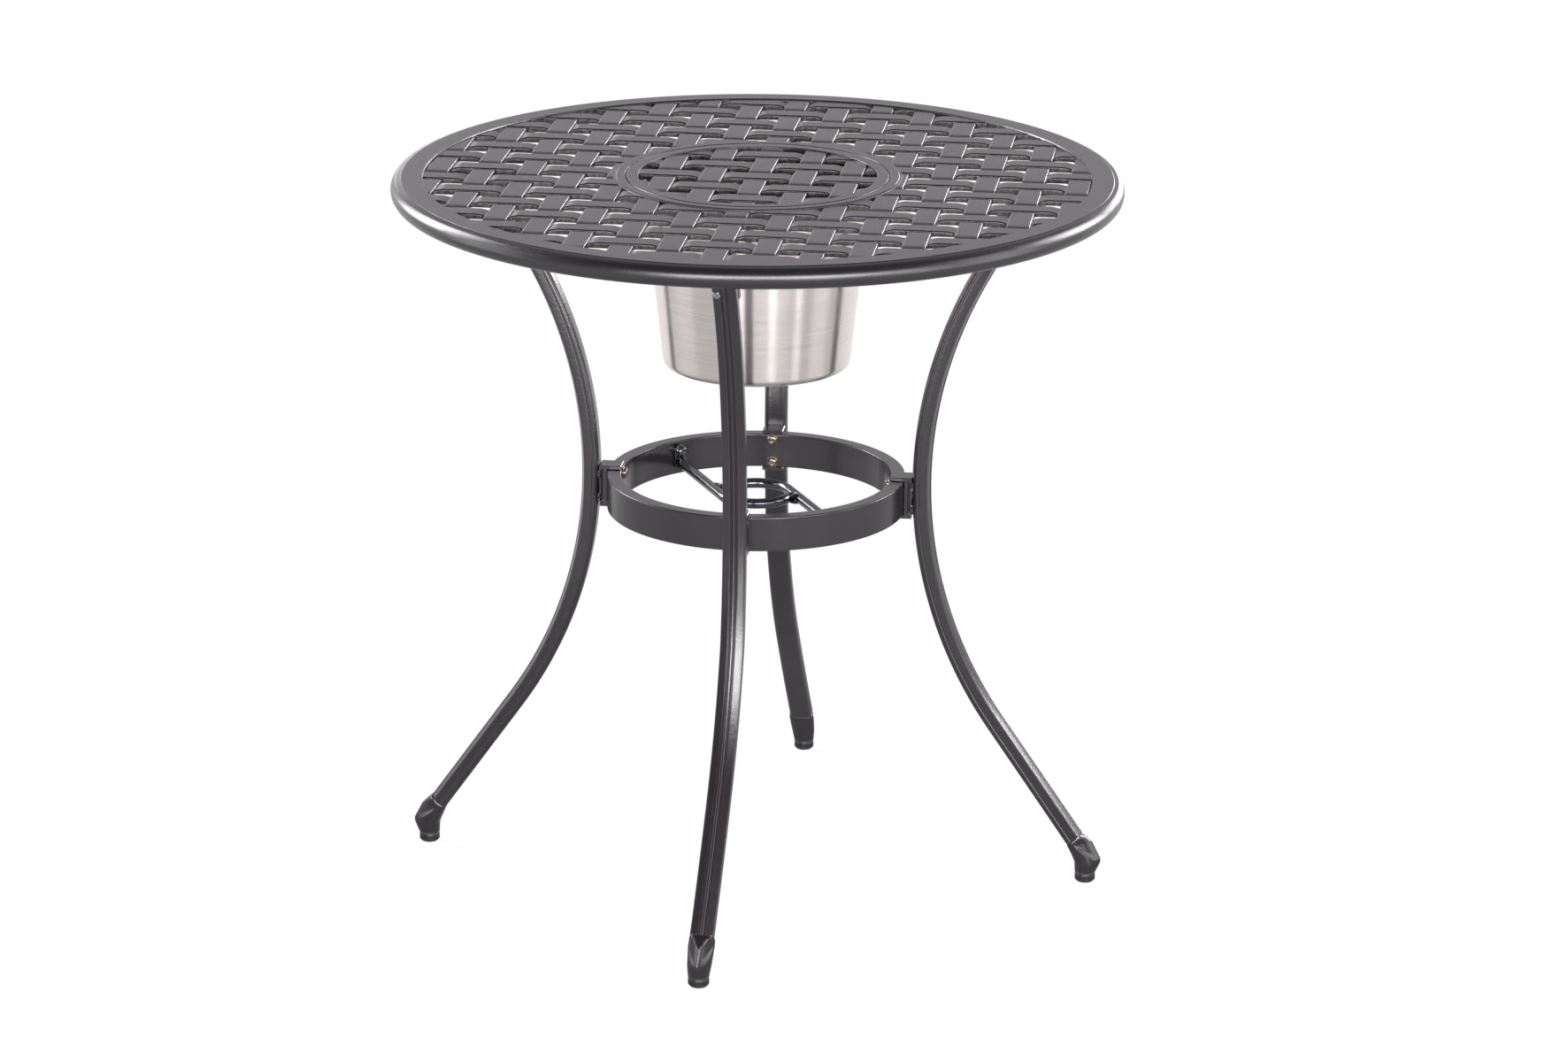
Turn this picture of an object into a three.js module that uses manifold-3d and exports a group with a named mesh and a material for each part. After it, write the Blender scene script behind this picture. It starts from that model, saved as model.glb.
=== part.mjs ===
// Round cast patio table with a woven top and a steel ice bucket hung in its middle.
// Millimetres, +Z up. The origin is on the floor under the centre of the table.
// The front leg stands on -Y, and the other legs follow at quarter turns.

import * as THREE from 'three';
import { mergeVertices } from 'three/addons/utils/BufferGeometryUtils.js';
import Module from 'manifold-3d';

const wasm = await Module();
wasm.setup();

// Whole table
const tableHeight = 711;
const tableRadius = 355.5;

// Fits and cuts
const seat = 0.3; // left between two pieces that touch
const overrun = 3; // how far a cut or a joint runs past the face that it meets
const weldDistance = 0.0001;

// Border and bullnose rim of the top
const noseWidth = 8.5; // from the flat border out to the edge
const borderWidth = 23;
const topPlate = 6.5;
const rimDepth = 22;
const rimWall = 13.5;
const bullnoseReach = 11;
const bullnoseStart = THREE.MathUtils.degToRad(62);
const bullnoseEnd = THREE.MathUtils.degToRad(-78);
const bullnoseSteps = 5;
const rimSides = 64;

// Woven field of the top and of the lid
const weavePitch = 44.45;
const strandWidth = 22.2;
const strandRise = 2; // how far a strand dives at its ends
const strandSlope = 13;
const strandLap = 0.4; // how far a strand reaches into its neighbours
const weaveDrop = 1; // strands below the flat border
const weaveTurn = THREE.MathUtils.degToRad(1.5);
const holeShowing = 1; // least distance from a hole's middle to the edge of the field

// Collar in the middle of the top, with the ledge that carries the bucket
const collarRadius = 140.2;
const collarWidth = 11.6;
const ledgeWidth = 10.6;
const ledgeThickness = 5;
const collarSides = 48;

// Lid
const lidClearance = 1;
const lidBorderWidth = 11.7;
const lidThickness = 7.7;

// Bucket
const bucketLipHeight = 3.7;
const bucketLipWidth = 1.6;
const bucketFlangeClearance = 2.1;
const bucketSheet = 1.4;
const bucketMouthClearance = 7.5;
const bucketTaper = 19.2; // how much narrower the base is than the mouth
const bucketHeight = 178;
const bucketCorner = 8;
const bucketCornerSteps = 2;
const bucketSides = 40;

// Legs: one saber curve, narrowest at the waist, straight below the lower bend
const waistHeight = 405.6;
const waistInset = 191; // from the edge of the top in to the legs at the waist
const lowerBend = 425.2;
const splay = THREE.MathUtils.degToRad(35.1);
const legTopInset = 79.9; // from the edge of the top in to the legs' upper ends
const legTopGap = 6; // bearer between the leg's end and the top plate
const legFootHeight = 45.5;
const legHalfWidth = 11.4;
const legInnerDepth = 9.1;
const legOuterDepth = 5.4;
const legPanelDepth = 7.6;
const legPanelStart = 4.2;
const legGrooveDepth = 6.3;
const legGrooveStart = 3;
const legBeadDepth = 8.9;
const legBeadHalfWidth = 1.6;
const legInnerCorner = 3.6;
const legSteps = 24;

// The frame stands a little round from the feet, and the legs take up the turn
const frameTurn = THREE.MathUtils.degToRad(2);
const fullTurnHeight = 290;

// Lug and bearer cast under the top at each leg
const lugThickness = 11;
const lugHalfWidth = 11;
const lugDrop = 58; // below the underside of the plate
const lugSteps = 5;
const bearerReach = 39.6; // from the leg's upper end in towards the middle

// Screw that holds each leg to its lug
const legScrewDrop = 49; // below the top
const legScrewOffset = 7.2;
const legScrewRadius = 2.5;
const legScrewGrip = 8; // how far it runs into the lug
const legScrewHeadAcross = 8;
const legScrewHeadHeight = 3.6;
const legScrewSpotDepth = 4.8;
const legScrewSpotClearance = 0.5;

// Stretcher ring
const stretcherThickness = 14;
const stretcherHeight = 34;
const stretcherDrop = 14.3; // its middle below the waist
const stretcherSides = 48;

// Brackets that carry the stretcher ring on the legs
const bracketWidth = 20.6;
const bracketFlange = 3.6;
const bracketDepth = 7.5; // behind the ring
const bracketWeb = 3.4;
const bracketGroove = 2.4;
const bracketGrooveDepth = 6;

// Screws through the stretcher ring
const screwSpacing = 23.4;
const screwRadius = 3;
const screwClearance = 0.3;
const screwGrip = 5; // how far a screw runs into its bracket
const washerRadius = 6.2;
const washerThickness = 1.2;
const screwHeadRadius = 5.2;
const screwHeadFlat = 2.6;
const screwHeadHeight = 3.2;
const screwHeadEdge = 1.6;
const screwSides = 10;
const boreSides = 8;
const headSides = 6;

// Crossbar: two bent rods that close round the umbrella pole
const rodRadius = 5;
const poleRingRadius = 34.5;
const rodDrop = 4; // below the middle of the stretcher ring
const rodEndGap = THREE.MathUtils.degToRad(43);
const rodSides = 8;
const rodSteps = 20;
const rodScrewGrip = 9; // how far its screw runs into the ring
const tabHalfWidth = 7;
const tabThickness = 4;
const tabRise = 11.4; // from the rod to its screw
const tabCurveSteps = 5;

// Cast feet
const footInset = 13.5; // middle of a foot inside the line of its leg
const footBase = 9.7;
const footSides = 16;

// Levelling glides
const glideRadius = 10.2;
const glideBaseRadius = 8;
const glideEdge = 2.4;
const glideNeckRadius = 9.4;
const glideStemRadius = 4;
const glideStemLength = 16;
const glideSides = 16;

// Sizes that follow from the ones above
const borderRadius = tableRadius - noseWidth;
const topUnderside = tableHeight - topPlate;
const weaveTop = tableHeight - weaveDrop;
const weaveRadius = borderRadius - borderWidth;
const collarBore = collarRadius - collarWidth;
const ledgeBore = collarBore - ledgeWidth;
const ledgeHeight = tableHeight - lidThickness - bucketLipHeight - 2 * seat;
const lidRadius = collarBore - lidClearance;
const lidWeaveRadius = lidRadius - lidBorderWidth;
const bucketMouthRadius = ledgeBore - bucketMouthClearance;
const bucketBaseRadius = bucketMouthRadius - bucketTaper;
const waistRadius = tableRadius - waistInset;
const legTop = topUnderside - legTopGap - seat;
const legTopRadius = tableRadius - legTopInset;
const legScrewHeight = tableHeight - legScrewDrop;
const upperBend = bendThrough(legTop - waistHeight, legTopRadius - waistRadius);
const stretcherRadius = waistRadius - legInnerDepth - bracketDepth - 2 * seat;
const stretcherMiddle = waistHeight - stretcherDrop;
const stretcherInner = stretcherRadius - stretcherThickness;
const stretcherTop = stretcherMiddle + stretcherHeight / 2;
const stretcherBottom = stretcherMiddle - stretcherHeight / 2;
const stretcherInnerFlat = stretcherInner * Math.cos(Math.PI / stretcherSides);
const rodHeight = stretcherMiddle - rodDrop;
const footRadius = legRadiusAt(footBase) - footInset;
const footTopHeight = legFootHeight - seat * Math.cos(splay);
const legSides = ['right', 'back', 'left', 'front'];
const upwards = new THREE.Vector3(0, 0, 1);

// Finishes
const castGrey = { color: 0x77757a, roughness: 0.5, metalness: 0.55 };
const castCharcoal = { color: 0x434246, roughness: 0.55, metalness: 0.45 };
const brushedSteel = { color: 0xcdc6c2, roughness: 0.3, metalness: 1 };
const platedSteel = { color: 0xb9b6ae, roughness: 0.28, metalness: 1 };
const blackPlastic = { color: 0x1f1f21, roughness: 0.6, metalness: 0 };

// Solids

function toSolid(geometry) {
  const bare = geometry.index ? geometry.toNonIndexed() : geometry.clone();
  bare.deleteAttribute('normal');
  bare.deleteAttribute('uv');
  const welded = mergeVertices(bare, weldDistance);
  return new wasm.Manifold(new wasm.Mesh({
    numProp: 3,
    vertProperties: new Float32Array(welded.attributes.position.array),
    triVerts: new Uint32Array(welded.index.array),
  }));
}

function toGeometry(solid) {
  const { vertProperties, triVerts } = solid.getMesh();
  const geometry = new THREE.BufferGeometry();
  geometry.setAttribute('position', new THREE.BufferAttribute(vertProperties, 3));
  geometry.setIndex(new THREE.BufferAttribute(triVerts, 1));
  return geometry;
}

const joinAll = (solids) => solids.reduce((whole, solid) => whole.add(solid));

function outline(points) {
  return points.map(([x, y]) => new THREE.Vector2(x, y));
}

// A closed outline of radius and height turned about Z, with its faces pointing out
function turned(points, sides) {
  const profile = outline(points);
  if (THREE.ShapeUtils.area(profile) < 0) profile.reverse();
  profile.push(profile[0].clone());
  return new THREE.LatheGeometry(profile, sides).rotateX(Math.PI / 2);
}

// An outline of radius and height, pushed across the leg plane and centred on it
function acrossLeg(points, width) {
  const options = { depth: width, bevelEnabled: false };
  const geometry = new THREE.ExtrudeGeometry(new THREE.Shape(outline(points)), options);
  return geometry.rotateX(Math.PI / 2).translate(0, width / 2, 0);
}

function upright(points, bottom, top) {
  const options = { depth: top - bottom, bevelEnabled: false };
  const geometry = new THREE.ExtrudeGeometry(new THREE.Shape(outline(points)), options);
  return geometry.translate(0, 0, bottom);
}

// An outline that starts and ends on the axis, turned about Z
function turnedOnAxis(points, sides) {
  return new THREE.LatheGeometry(outline(points), sides).rotateX(Math.PI / 2);
}

// A closed skin over rings of equal count, each turning left as seen from the first one.
// The two halves of each ring are cut into triangles as mirror images.
function loft(rings) {
  const positions = rings.flat(2);
  const sides = rings[0].length;
  const index = [];
  for (let row = 0; row < rings.length - 1; row += 1) {
    for (let side = 0; side < sides; side += 1) {
      const next = (side + 1) % sides;
      const [a, b] = [row * sides + side, row * sides + next];
      const [c, d] = [a + sides, b + sides];
      if (side < sides / 2) index.push(a, c, d, a, d, b);
      else index.push(a, c, b, b, c, d);
    }
  }
  const last = (rings.length - 1) * sides;
  for (let side = 1; side < sides - 1; side += 1) {
    index.push(0, side, side + 1);
    index.push(last, last + side + 1, last + side);
  }
  const geometry = new THREE.BufferGeometry();
  geometry.setAttribute('position', new THREE.Float32BufferAttribute(positions, 3));
  geometry.setIndex(index);
  return geometry;
}

// A round or many-sided bar along Z, from one height to another
function barAlongZ(radius, bottom, top, sides) {
  const geometry = new THREE.CylinderGeometry(radius, radius, top - bottom, sides);
  return geometry.rotateX(Math.PI / 2).translate(0, 0, (top + bottom) / 2);
}

// Corner radius of a bore whose flats clear a round bar
function boreAround(radius, clearance = screwClearance) {
  return (radius + clearance) / Math.cos(Math.PI / boreSides);
}

function addMesh(parent, name, geometry, finish) {
  const mesh = new THREE.Mesh(geometry, new THREE.MeshStandardMaterial(finish));
  mesh.name = name;
  parent.add(mesh);
  return mesh;
}

// Weave: each strand lies over one crossing and dives under the next one at both ends

function strand(alongY) {
  const reach = weavePitch - strandWidth / 2;
  const side = strandWidth / 2;
  const stations = [
    [-reach - strandLap, weaveTop - strandRise],
    [strandSlope - reach, weaveTop],
    [reach - strandSlope, weaveTop],
    [reach + strandLap, weaveTop - strandRise],
  ];
  const rings = stations.map(([along, top]) => [
    [along, -side, topUnderside],
    [along, -side, top],
    [along, side, top],
    [along, side, topUnderside],
  ]);
  return alongY ? loft(rings).rotateZ(Math.PI / 2) : loft(rings);
}

// Closes a hole that the edge of the field would leave as a sliver
function filler() {
  const half = (weavePitch - strandWidth) / 2 + strandLap;
  const square = [[half, -half], [half, half], [-half, half], [-half, -half]];
  return upright(square, topUnderside, weaveTop - strandRise);
}

function weaveField(innerRadius, outerRadius, sides) {
  const pieces = [];
  const count = Math.ceil(outerRadius / weavePitch);
  const touches = (x, y, reach) => {
    const distance = Math.hypot(x, y);
    return distance - reach < outerRadius && distance + reach > innerRadius;
  };
  for (let i = -count; i <= count; i += 1) {
    for (let j = -count; j <= count; j += 1) {
      const [x, y] = [i * weavePitch, j * weavePitch];
      const alongY = (i + j) % 2 !== 0;
      if (touches(x, y, weavePitch)) pieces.push(toSolid(strand(alongY).translate(x, y, 0)));
      const [holeX, holeY] = [x + weavePitch / 2, y + weavePitch / 2];
      const distance = Math.hypot(holeX, holeY);
      const open = distance < outerRadius - holeShowing && distance > innerRadius + holeShowing;
      if (!open && touches(holeX, holeY, weavePitch / 2)) {
        pieces.push(toSolid(filler().translate(holeX, holeY, 0)));
      }
    }
  }
  const edge = outerRadius + overrun;
  const disc = barAlongZ(edge, topUnderside - overrun, tableHeight, sides);
  const woven = toGeometry(joinAll(pieces)).rotateZ(weaveTurn);
  return toSolid(woven).intersect(toSolid(disc));
}

// Leg line: distance from the table's middle at each height

// Radius of a bend that moves out by a reach over a rise
function bendThrough(rise, reach) {
  return (rise * rise + reach * reach) / (2 * reach);
}

function bendOffset(bend, along) {
  return bend - Math.sqrt(bend * bend - along * along);
}

function legRadiusAt(height) {
  const rise = height - waistHeight;
  if (rise > 0) return waistRadius + bendOffset(upperBend, rise);
  const bentDrop = Math.min(-rise, lowerBend * Math.sin(splay));
  const straightDrop = -rise - bentDrop;
  return waistRadius + bendOffset(lowerBend, bentDrop) + straightDrop * Math.tan(splay);
}

class LegLine extends THREE.Curve {
  constructor(bottom, top) {
    super();
    this.bottom = bottom;
    this.top = top;
  }

  getPoint(share, target = new THREE.Vector3()) {
    const height = this.bottom + (this.top - this.bottom) * share;
    return target.set(legRadiusAt(height), 0, height);
  }
}

// Lean of the leg from upright at a height above the waist
const upperLean = (height) => Math.asin((height - waistHeight) / upperBend);

// Puts what is built along +Z on the leg's outward normal at a height
function onLegNormal(item, height, across) {
  const lean = upperLean(height);
  const turnedItem = item.rotateY(Math.PI / 2 + lean);
  return turnedItem.translate(legRadiusAt(height), across, height);
}

function alongLeg(section, bottom, top, steps) {
  const path = new LegLine(bottom, top);
  return new THREE.ExtrudeGeometry(new THREE.Shape(outline(section)), { steps, extrudePath: path });
}

function cutAbove(solid, height) {
  const size = 2 * tableRadius;
  const block = new THREE.BoxGeometry(size, size, size).translate(0, 0, height + size / 2);
  return solid.subtract(toSolid(block));
}

// Turns a piece of the leg about the table's middle, from none at the foot to the frame's turn
function turnedWithFrame(geometry) {
  const places = geometry.attributes.position;
  const place = new THREE.Vector3();
  for (let index = 0; index < places.count; index += 1) {
    place.fromBufferAttribute(places, index);
    const share = (place.z - footBase) / (fullTurnHeight - footBase);
    const angle = frameTurn * THREE.MathUtils.clamp(share, 0, 1);
    place.applyAxisAngle(upwards, angle);
    places.setXYZ(index, place.x, place.y, place.z);
  }
  return geometry;
}

// Section of a leg: plain inside, two flat panels and a bead between grooves outside
function legSection() {
  const half = [
    [legHalfWidth - legInnerCorner, -legInnerDepth],
    [legHalfWidth, -legInnerDepth + legInnerCorner],
    [legHalfWidth, legOuterDepth],
    [legPanelStart, legPanelDepth],
    [legGrooveStart, legGrooveDepth],
    [legBeadHalfWidth, legBeadDepth],
  ];
  const other = half.map(([across, out]) => [-across, out]).reverse();
  return [...half, ...other];
}

function legScrewHole(radius, from, to) {
  const bar = barAlongZ(radius, from, to, boreSides);
  return toSolid(onLegNormal(bar, legScrewHeight, -legScrewOffset));
}

function makeLeg() {
  const beam = toSolid(alongLeg(legSection(), legFootHeight, tableHeight, legSteps));
  const cut = cutAbove(beam, legTop);
  const holeRadius = boreAround(legScrewRadius);
  const spotRadius = boreAround(legScrewHeadAcross / Math.sqrt(3), legScrewSpotClearance);
  const bored = cut.subtract(legScrewHole(holeRadius, -legInnerDepth - overrun, legBeadDepth + overrun));
  return bored.subtract(legScrewHole(spotRadius, legScrewSpotDepth, legBeadDepth + overrun));
}

// Top: rim, woven field, collar and the lugs that the legs are screwed to

function rimProfile() {
  const middle = [tableRadius - bullnoseReach, tableHeight - rimDepth / 2];
  const nose = [];
  for (let step = 0; step <= bullnoseSteps; step += 1) {
    const angle = bullnoseStart + ((bullnoseEnd - bullnoseStart) * step) / bullnoseSteps;
    const out = bullnoseReach * Math.cos(angle);
    const up = (rimDepth / 2) * Math.sin(angle);
    nose.push([middle[0] + out, middle[1] + up]);
  }
  const skirt = tableRadius - rimWall;
  return [
    [weaveRadius, tableHeight],
    [borderRadius, tableHeight],
    ...nose,
    [skirt, tableHeight - rimDepth],
    [skirt, topUnderside],
    [weaveRadius, topUnderside],
  ];
}

function collarProfile() {
  return [
    [collarRadius, tableHeight],
    [collarBore, tableHeight],
    [collarBore, ledgeHeight],
    [ledgeBore, ledgeHeight],
    [ledgeBore, ledgeHeight - ledgeThickness],
    [collarRadius, ledgeHeight - ledgeThickness],
  ];
}

function makeLug() {
  const near = -legInnerDepth - seat;
  const section = [
    [lugHalfWidth, near - lugThickness],
    [lugHalfWidth, near],
    [-lugHalfWidth, near],
    [-lugHalfWidth, near - lugThickness],
  ];
  const bottom = topUnderside - lugDrop;
  const lug = toSolid(alongLeg(section, bottom, tableHeight, lugSteps));
  const bearerStart = legTopRadius - bearerReach;
  const bearerEnd = tableRadius - rimWall + overrun;
  const bearerBottom = topUnderside - legTopGap;
  const side = [
    [bearerStart, bearerBottom],
    [bearerEnd, bearerBottom],
    [bearerEnd, topUnderside + seat],
    [bearerStart - legTopGap, topUnderside + seat],
  ];
  const bearer = toSolid(acrossLeg(side, 2 * lugHalfWidth));
  const whole = cutAbove(lug, topUnderside + seat).add(bearer);
  const holeRadius = boreAround(legScrewRadius);
  return whole.subtract(legScrewHole(holeRadius, near - legScrewGrip - seat, 0));
}

function makeTop() {
  const rim = toSolid(turned(rimProfile(), rimSides));
  const field = weaveField(collarRadius, weaveRadius, rimSides);
  const bore = barAlongZ(collarRadius - overrun, topUnderside - rimDepth, tableHeight + overrun, collarSides);
  const collar = toSolid(turned(collarProfile(), collarSides));
  let whole = rim.add(field).subtract(toSolid(bore)).add(collar);
  for (let quarter = 0; quarter < legSides.length; quarter += 1) {
    const lug = toGeometry(makeLug()).rotateZ((quarter * Math.PI) / 2 + frameTurn);
    whole = whole.add(toSolid(lug));
  }
  return whole;
}

function makeLid() {
  const border = [
    [lidWeaveRadius, tableHeight],
    [lidRadius, tableHeight],
    [lidRadius, tableHeight - lidThickness],
    [lidWeaveRadius, tableHeight - lidThickness],
  ];
  const ring = toSolid(turned(border, collarSides));
  return ring.add(weaveField(0, lidWeaveRadius, collarSides));
}

// Bucket: drawn steel, with a flange on the collar's ledge and a lip that carries the lid
function bucketProfile() {
  const base = ledgeHeight + seat - bucketHeight;
  const flangeBottom = ledgeHeight + seat;
  const flangeRadius = collarBore - bucketFlangeClearance;
  const side = (inset) => {
    const points = [[0, base + inset]];
    for (let step = 0; step <= bucketCornerSteps; step += 1) {
      const angle = -Math.PI / 2 + ((Math.PI / 2) * step) / bucketCornerSteps;
      const bend = bucketCorner - inset;
      const middle = [bucketBaseRadius - bucketCorner, base + bucketCorner];
      points.push([middle[0] + bend * Math.cos(angle), middle[1] + bend * Math.sin(angle)]);
    }
    points.push([bucketMouthRadius - inset, flangeBottom + inset]);
    return points;
  };
  return [
    ...side(0),
    [flangeRadius, flangeBottom],
    [flangeRadius, flangeBottom + bucketLipHeight],
    [flangeRadius - bucketLipWidth, flangeBottom + bucketLipHeight],
    [flangeRadius - bucketLipWidth, flangeBottom + bucketSheet],
    ...side(bucketSheet).reverse(),
  ];
}

// Stretcher ring, pierced for its screws

function stretcherProfile() {
  return [
    [stretcherInner, stretcherBottom],
    [stretcherRadius, stretcherBottom],
    [stretcherRadius, stretcherTop],
    [stretcherInner, stretcherTop],
  ];
}

// A screw hole along +X between two distances from the middle, at a height
function holeAlongX(from, to, height) {
  const bar = barAlongZ(boreAround(screwRadius), from, to, boreSides);
  return bar.rotateY(Math.PI / 2).translate(0, 0, height);
}

const bracketScrewHeights = [stretcherMiddle + screwSpacing / 2, stretcherMiddle - screwSpacing / 2];
const rodAngles = { left: (3 * Math.PI) / 4, right: -Math.PI / 4 };
const rodScrewEnd = stretcherInner + rodScrewGrip;
const bracketScrewEnd = stretcherRadius + seat + screwGrip;

function makeStretcher() {
  let ring = toSolid(turned(stretcherProfile(), stretcherSides));
  const from = stretcherInner - overrun;
  for (let quarter = 0; quarter < legSides.length; quarter += 1) {
    for (const height of bracketScrewHeights) {
      const hole = holeAlongX(from, stretcherRadius + overrun, height);
      ring = ring.subtract(toSolid(hole.rotateZ((quarter * Math.PI) / 2 + frameTurn)));
    }
  }
  for (const angle of Object.values(rodAngles)) {
    const hole = holeAlongX(from, rodScrewEnd + seat, rodHeight + tabRise);
    ring = ring.subtract(toSolid(hole.rotateZ(angle)));
  }
  return ring;
}

// Bracket: a grooved block behind the ring, with flanges over and under it, out to the leg
function makeBracket() {
  const top = stretcherTop + seat;
  const bottom = stretcherBottom - seat;
  const web = stretcherRadius + seat;
  const back = web + bracketDepth;
  const side = [
    [stretcherInner, top],
    [web, top],
    [web, bottom],
    [stretcherInner, bottom],
    [stretcherInner, bottom - bracketFlange],
    [back, bottom - bracketFlange],
    [back, top + bracketFlange],
    [stretcherInner, top + bracketFlange],
  ];
  let bracket = toSolid(acrossLeg(side, bracketWidth));
  const middle = web + bracketWeb + bracketGroove / 2;
  for (const across of [bracketWidth / 2, -bracketWidth / 2]) {
    const groove = new THREE.BoxGeometry(bracketGroove, 2 * bracketGrooveDepth, stretcherHeight);
    bracket = bracket.subtract(toSolid(groove.translate(middle, across, stretcherMiddle)));
  }
  for (const height of bracketScrewHeights) {
    const hole = holeAlongX(stretcherRadius - overrun, bracketScrewEnd + seat, height);
    bracket = bracket.subtract(toSolid(hole));
  }
  return bracket;
}

// Washer-headed screw along Z: its head lies below its seat, which is at zero
function screwGeometry(shank) {
  const head = -washerThickness - screwHeadHeight;
  const points = [
    [0, head],
    [screwHeadFlat, head],
    [screwHeadRadius, head + screwHeadEdge],
    [screwHeadRadius, -washerThickness],
    [washerRadius, -washerThickness],
    [washerRadius, 0],
    [screwRadius, 0],
    [screwRadius, shank],
    [0, shank],
  ];
  return turnedOnAxis(points, screwSides);
}

// Hexagon screw along the leg's normal, its head in the spot face outside
function legScrewGeometry() {
  const headSeat = legScrewSpotDepth + seat;
  const headRadius = legScrewHeadAcross / Math.sqrt(3);
  const head = barAlongZ(headRadius, headSeat, headSeat + legScrewHeadHeight, headSides);
  const end = -legInnerDepth - seat - legScrewGrip;
  const shank = barAlongZ(legScrewRadius, end, headSeat + seat, boreSides);
  return toGeometry(toSolid(head).add(toSolid(shank)));
}

// Crossbar rod, built with its fixed end on +X

class RodLine extends THREE.Curve {
  constructor(start) {
    super();
    this.start = start;
    this.turn = Math.acos(poleRingRadius / start);
    this.straight = Math.sqrt(start * start - poleRingRadius * poleRingRadius);
    this.bend = Math.PI - rodEndGap;
  }

  getPoint(share, target = new THREE.Vector3()) {
    const arc = this.bend * poleRingRadius;
    const along = share * (this.straight + arc);
    if (along < this.straight) {
      const back = this.straight - along;
      const x = poleRingRadius * Math.cos(this.turn) + back * Math.sin(this.turn);
      const y = poleRingRadius * Math.sin(this.turn) - back * Math.cos(this.turn);
      return target.set(x, y, rodHeight);
    }
    const angle = this.turn + (along - this.straight) / poleRingRadius;
    return target.set(poleRingRadius * Math.cos(angle), poleRingRadius * Math.sin(angle), rodHeight);
  }
}

function tabOutline() {
  const points = [];
  for (let step = 0; step <= tabCurveSteps; step += 1) {
    const angle = (Math.PI * step) / tabCurveSteps;
    points.push([tabHalfWidth * Math.cos(angle), tabRise + tabHalfWidth * Math.sin(angle)]);
  }
  for (let step = 0; step <= tabCurveSteps; step += 1) {
    const angle = Math.PI + (Math.PI * step) / tabCurveSteps;
    points.push([tabHalfWidth * Math.cos(angle), tabHalfWidth * Math.sin(angle)]);
  }
  return points;
}

const tabSeat = stretcherInnerFlat - bendOffset(stretcherInner, tabHalfWidth) - seat;

function makeRod() {
  const section = [];
  for (let side = 0; side < rodSides; side += 1) {
    const angle = (2 * Math.PI * side) / rodSides;
    section.push([rodRadius * Math.cos(angle), rodRadius * Math.sin(angle)]);
  }
  const path = new RodLine(tabSeat - tabThickness / 2);
  const shape = new THREE.Shape(outline(section));
  const rod = toSolid(new THREE.ExtrudeGeometry(shape, { steps: rodSteps, extrudePath: path }));
  const tab = upright(tabOutline(), 0, tabThickness);
  tab.rotateX(Math.PI / 2).rotateZ(Math.PI / 2).translate(tabSeat - tabThickness, 0, rodHeight);
  const hole = holeAlongX(tabSeat - tabThickness - overrun, tabSeat + overrun, rodHeight + tabRise);
  return rod.add(toSolid(tab)).subtract(toSolid(hole));
}

// Cast foot: a boot with two flat facets that meet in a keel over the toe

// Each ring goes through an outer, a side and an inner point of the foot. They are shares of the
// foot's height: out from its middle, up from its base and, for the side, across. The last two
// numbers give the fullness of the quarters towards the outer and the inner point.
const footRingShares = [
  { outer: [-0.03, 1.08], side: [-0.33, 0.96, 0.34], inner: [-0.52, 0.83], front: 0.7, back: 0.45 },
  { outer: [0.18, 0.88], side: [-0.32, 0.92, 0.352], inner: [-0.495, 0.76], front: 1.5, back: 0.5 },
  { outer: [0.43, 0.4], side: [-0.315, 0.89, 0.352], inner: [-0.475, 0.715], front: 1.7, back: 0.6 },
  { outer: [0.425, 0.29], side: [-0.25, 0.775, 0.36], inner: [-0.43, 0.61], front: 1.35, back: 0.75 },
  { outer: [0.36, 0.15], side: [-0.09, 0.34, 0.332], inner: [-0.305, 0.31], front: 1, back: 1 },
  { outer: [0.288, 0], side: [0, 0, 0.288], inner: [-0.288, 0], front: 1, back: 1 },
];

// Points round a foot: place gives each one from its cosine and sine
function roundFoot(place) {
  const points = [];
  for (let step = 0; step < footSides; step += 1) {
    const angle = (2 * Math.PI * step) / footSides;
    points.push(place(Math.cos(angle), Math.sin(angle)));
  }
  return points;
}

const swollen = (share, fullness) => Math.sign(share) * Math.abs(share) ** fullness;

function footRing({ outer, side, inner, front, back }) {
  const unit = legFootHeight - footBase;
  return roundFoot((cosine, sine) => {
    const [end, fullness] = cosine > 0 ? [outer, front] : [inner, back];
    const along = Math.abs(cosine) ** fullness;
    const across = swollen(sine, fullness) * side[2];
    const out = side[0] + (end[0] - side[0]) * along;
    const up = side[1] + (end[1] - side[1]) * along;
    return [footRadius + out * unit, across * unit, footBase + up * unit];
  });
}

// The ring at the joint follows the leg's section and leans with it
function footTopRing() {
  const middle = legRadiusAt(footTopHeight);
  const squareness = 0.5;
  return roundFoot((cosine, sine) => {
    const depth = cosine > 0 ? legBeadDepth : legInnerDepth;
    const out = swollen(cosine, squareness) * depth;
    const across = swollen(sine, squareness) * legHalfWidth;
    return [middle + out * Math.cos(splay), across, footTopHeight + out * Math.sin(splay)];
  });
}

function makeFoot() {
  const body = turnedWithFrame(loft([footTopRing(), ...footRingShares.map(footRing)]));
  const boreTop = footBase + glideStemLength + overrun;
  const bore = barAlongZ(boreAround(glideStemRadius, seat), footBase - overrun, boreTop, boreSides);
  return toSolid(body).subtract(toSolid(bore.translate(footRadius, 0, 0)));
}

function glideGeometry() {
  const top = footBase - seat;
  const points = [
    [0, 0],
    [glideBaseRadius, 0],
    [glideRadius, glideEdge],
    [glideRadius, top - glideEdge],
    [glideNeckRadius, top],
    [glideStemRadius, top],
    [glideStemRadius, top + glideStemLength],
    [0, top + glideStemLength],
  ];
  return turnedOnAxis(points, glideSides).translate(footRadius, 0, 0);
}

// Assembly

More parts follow.
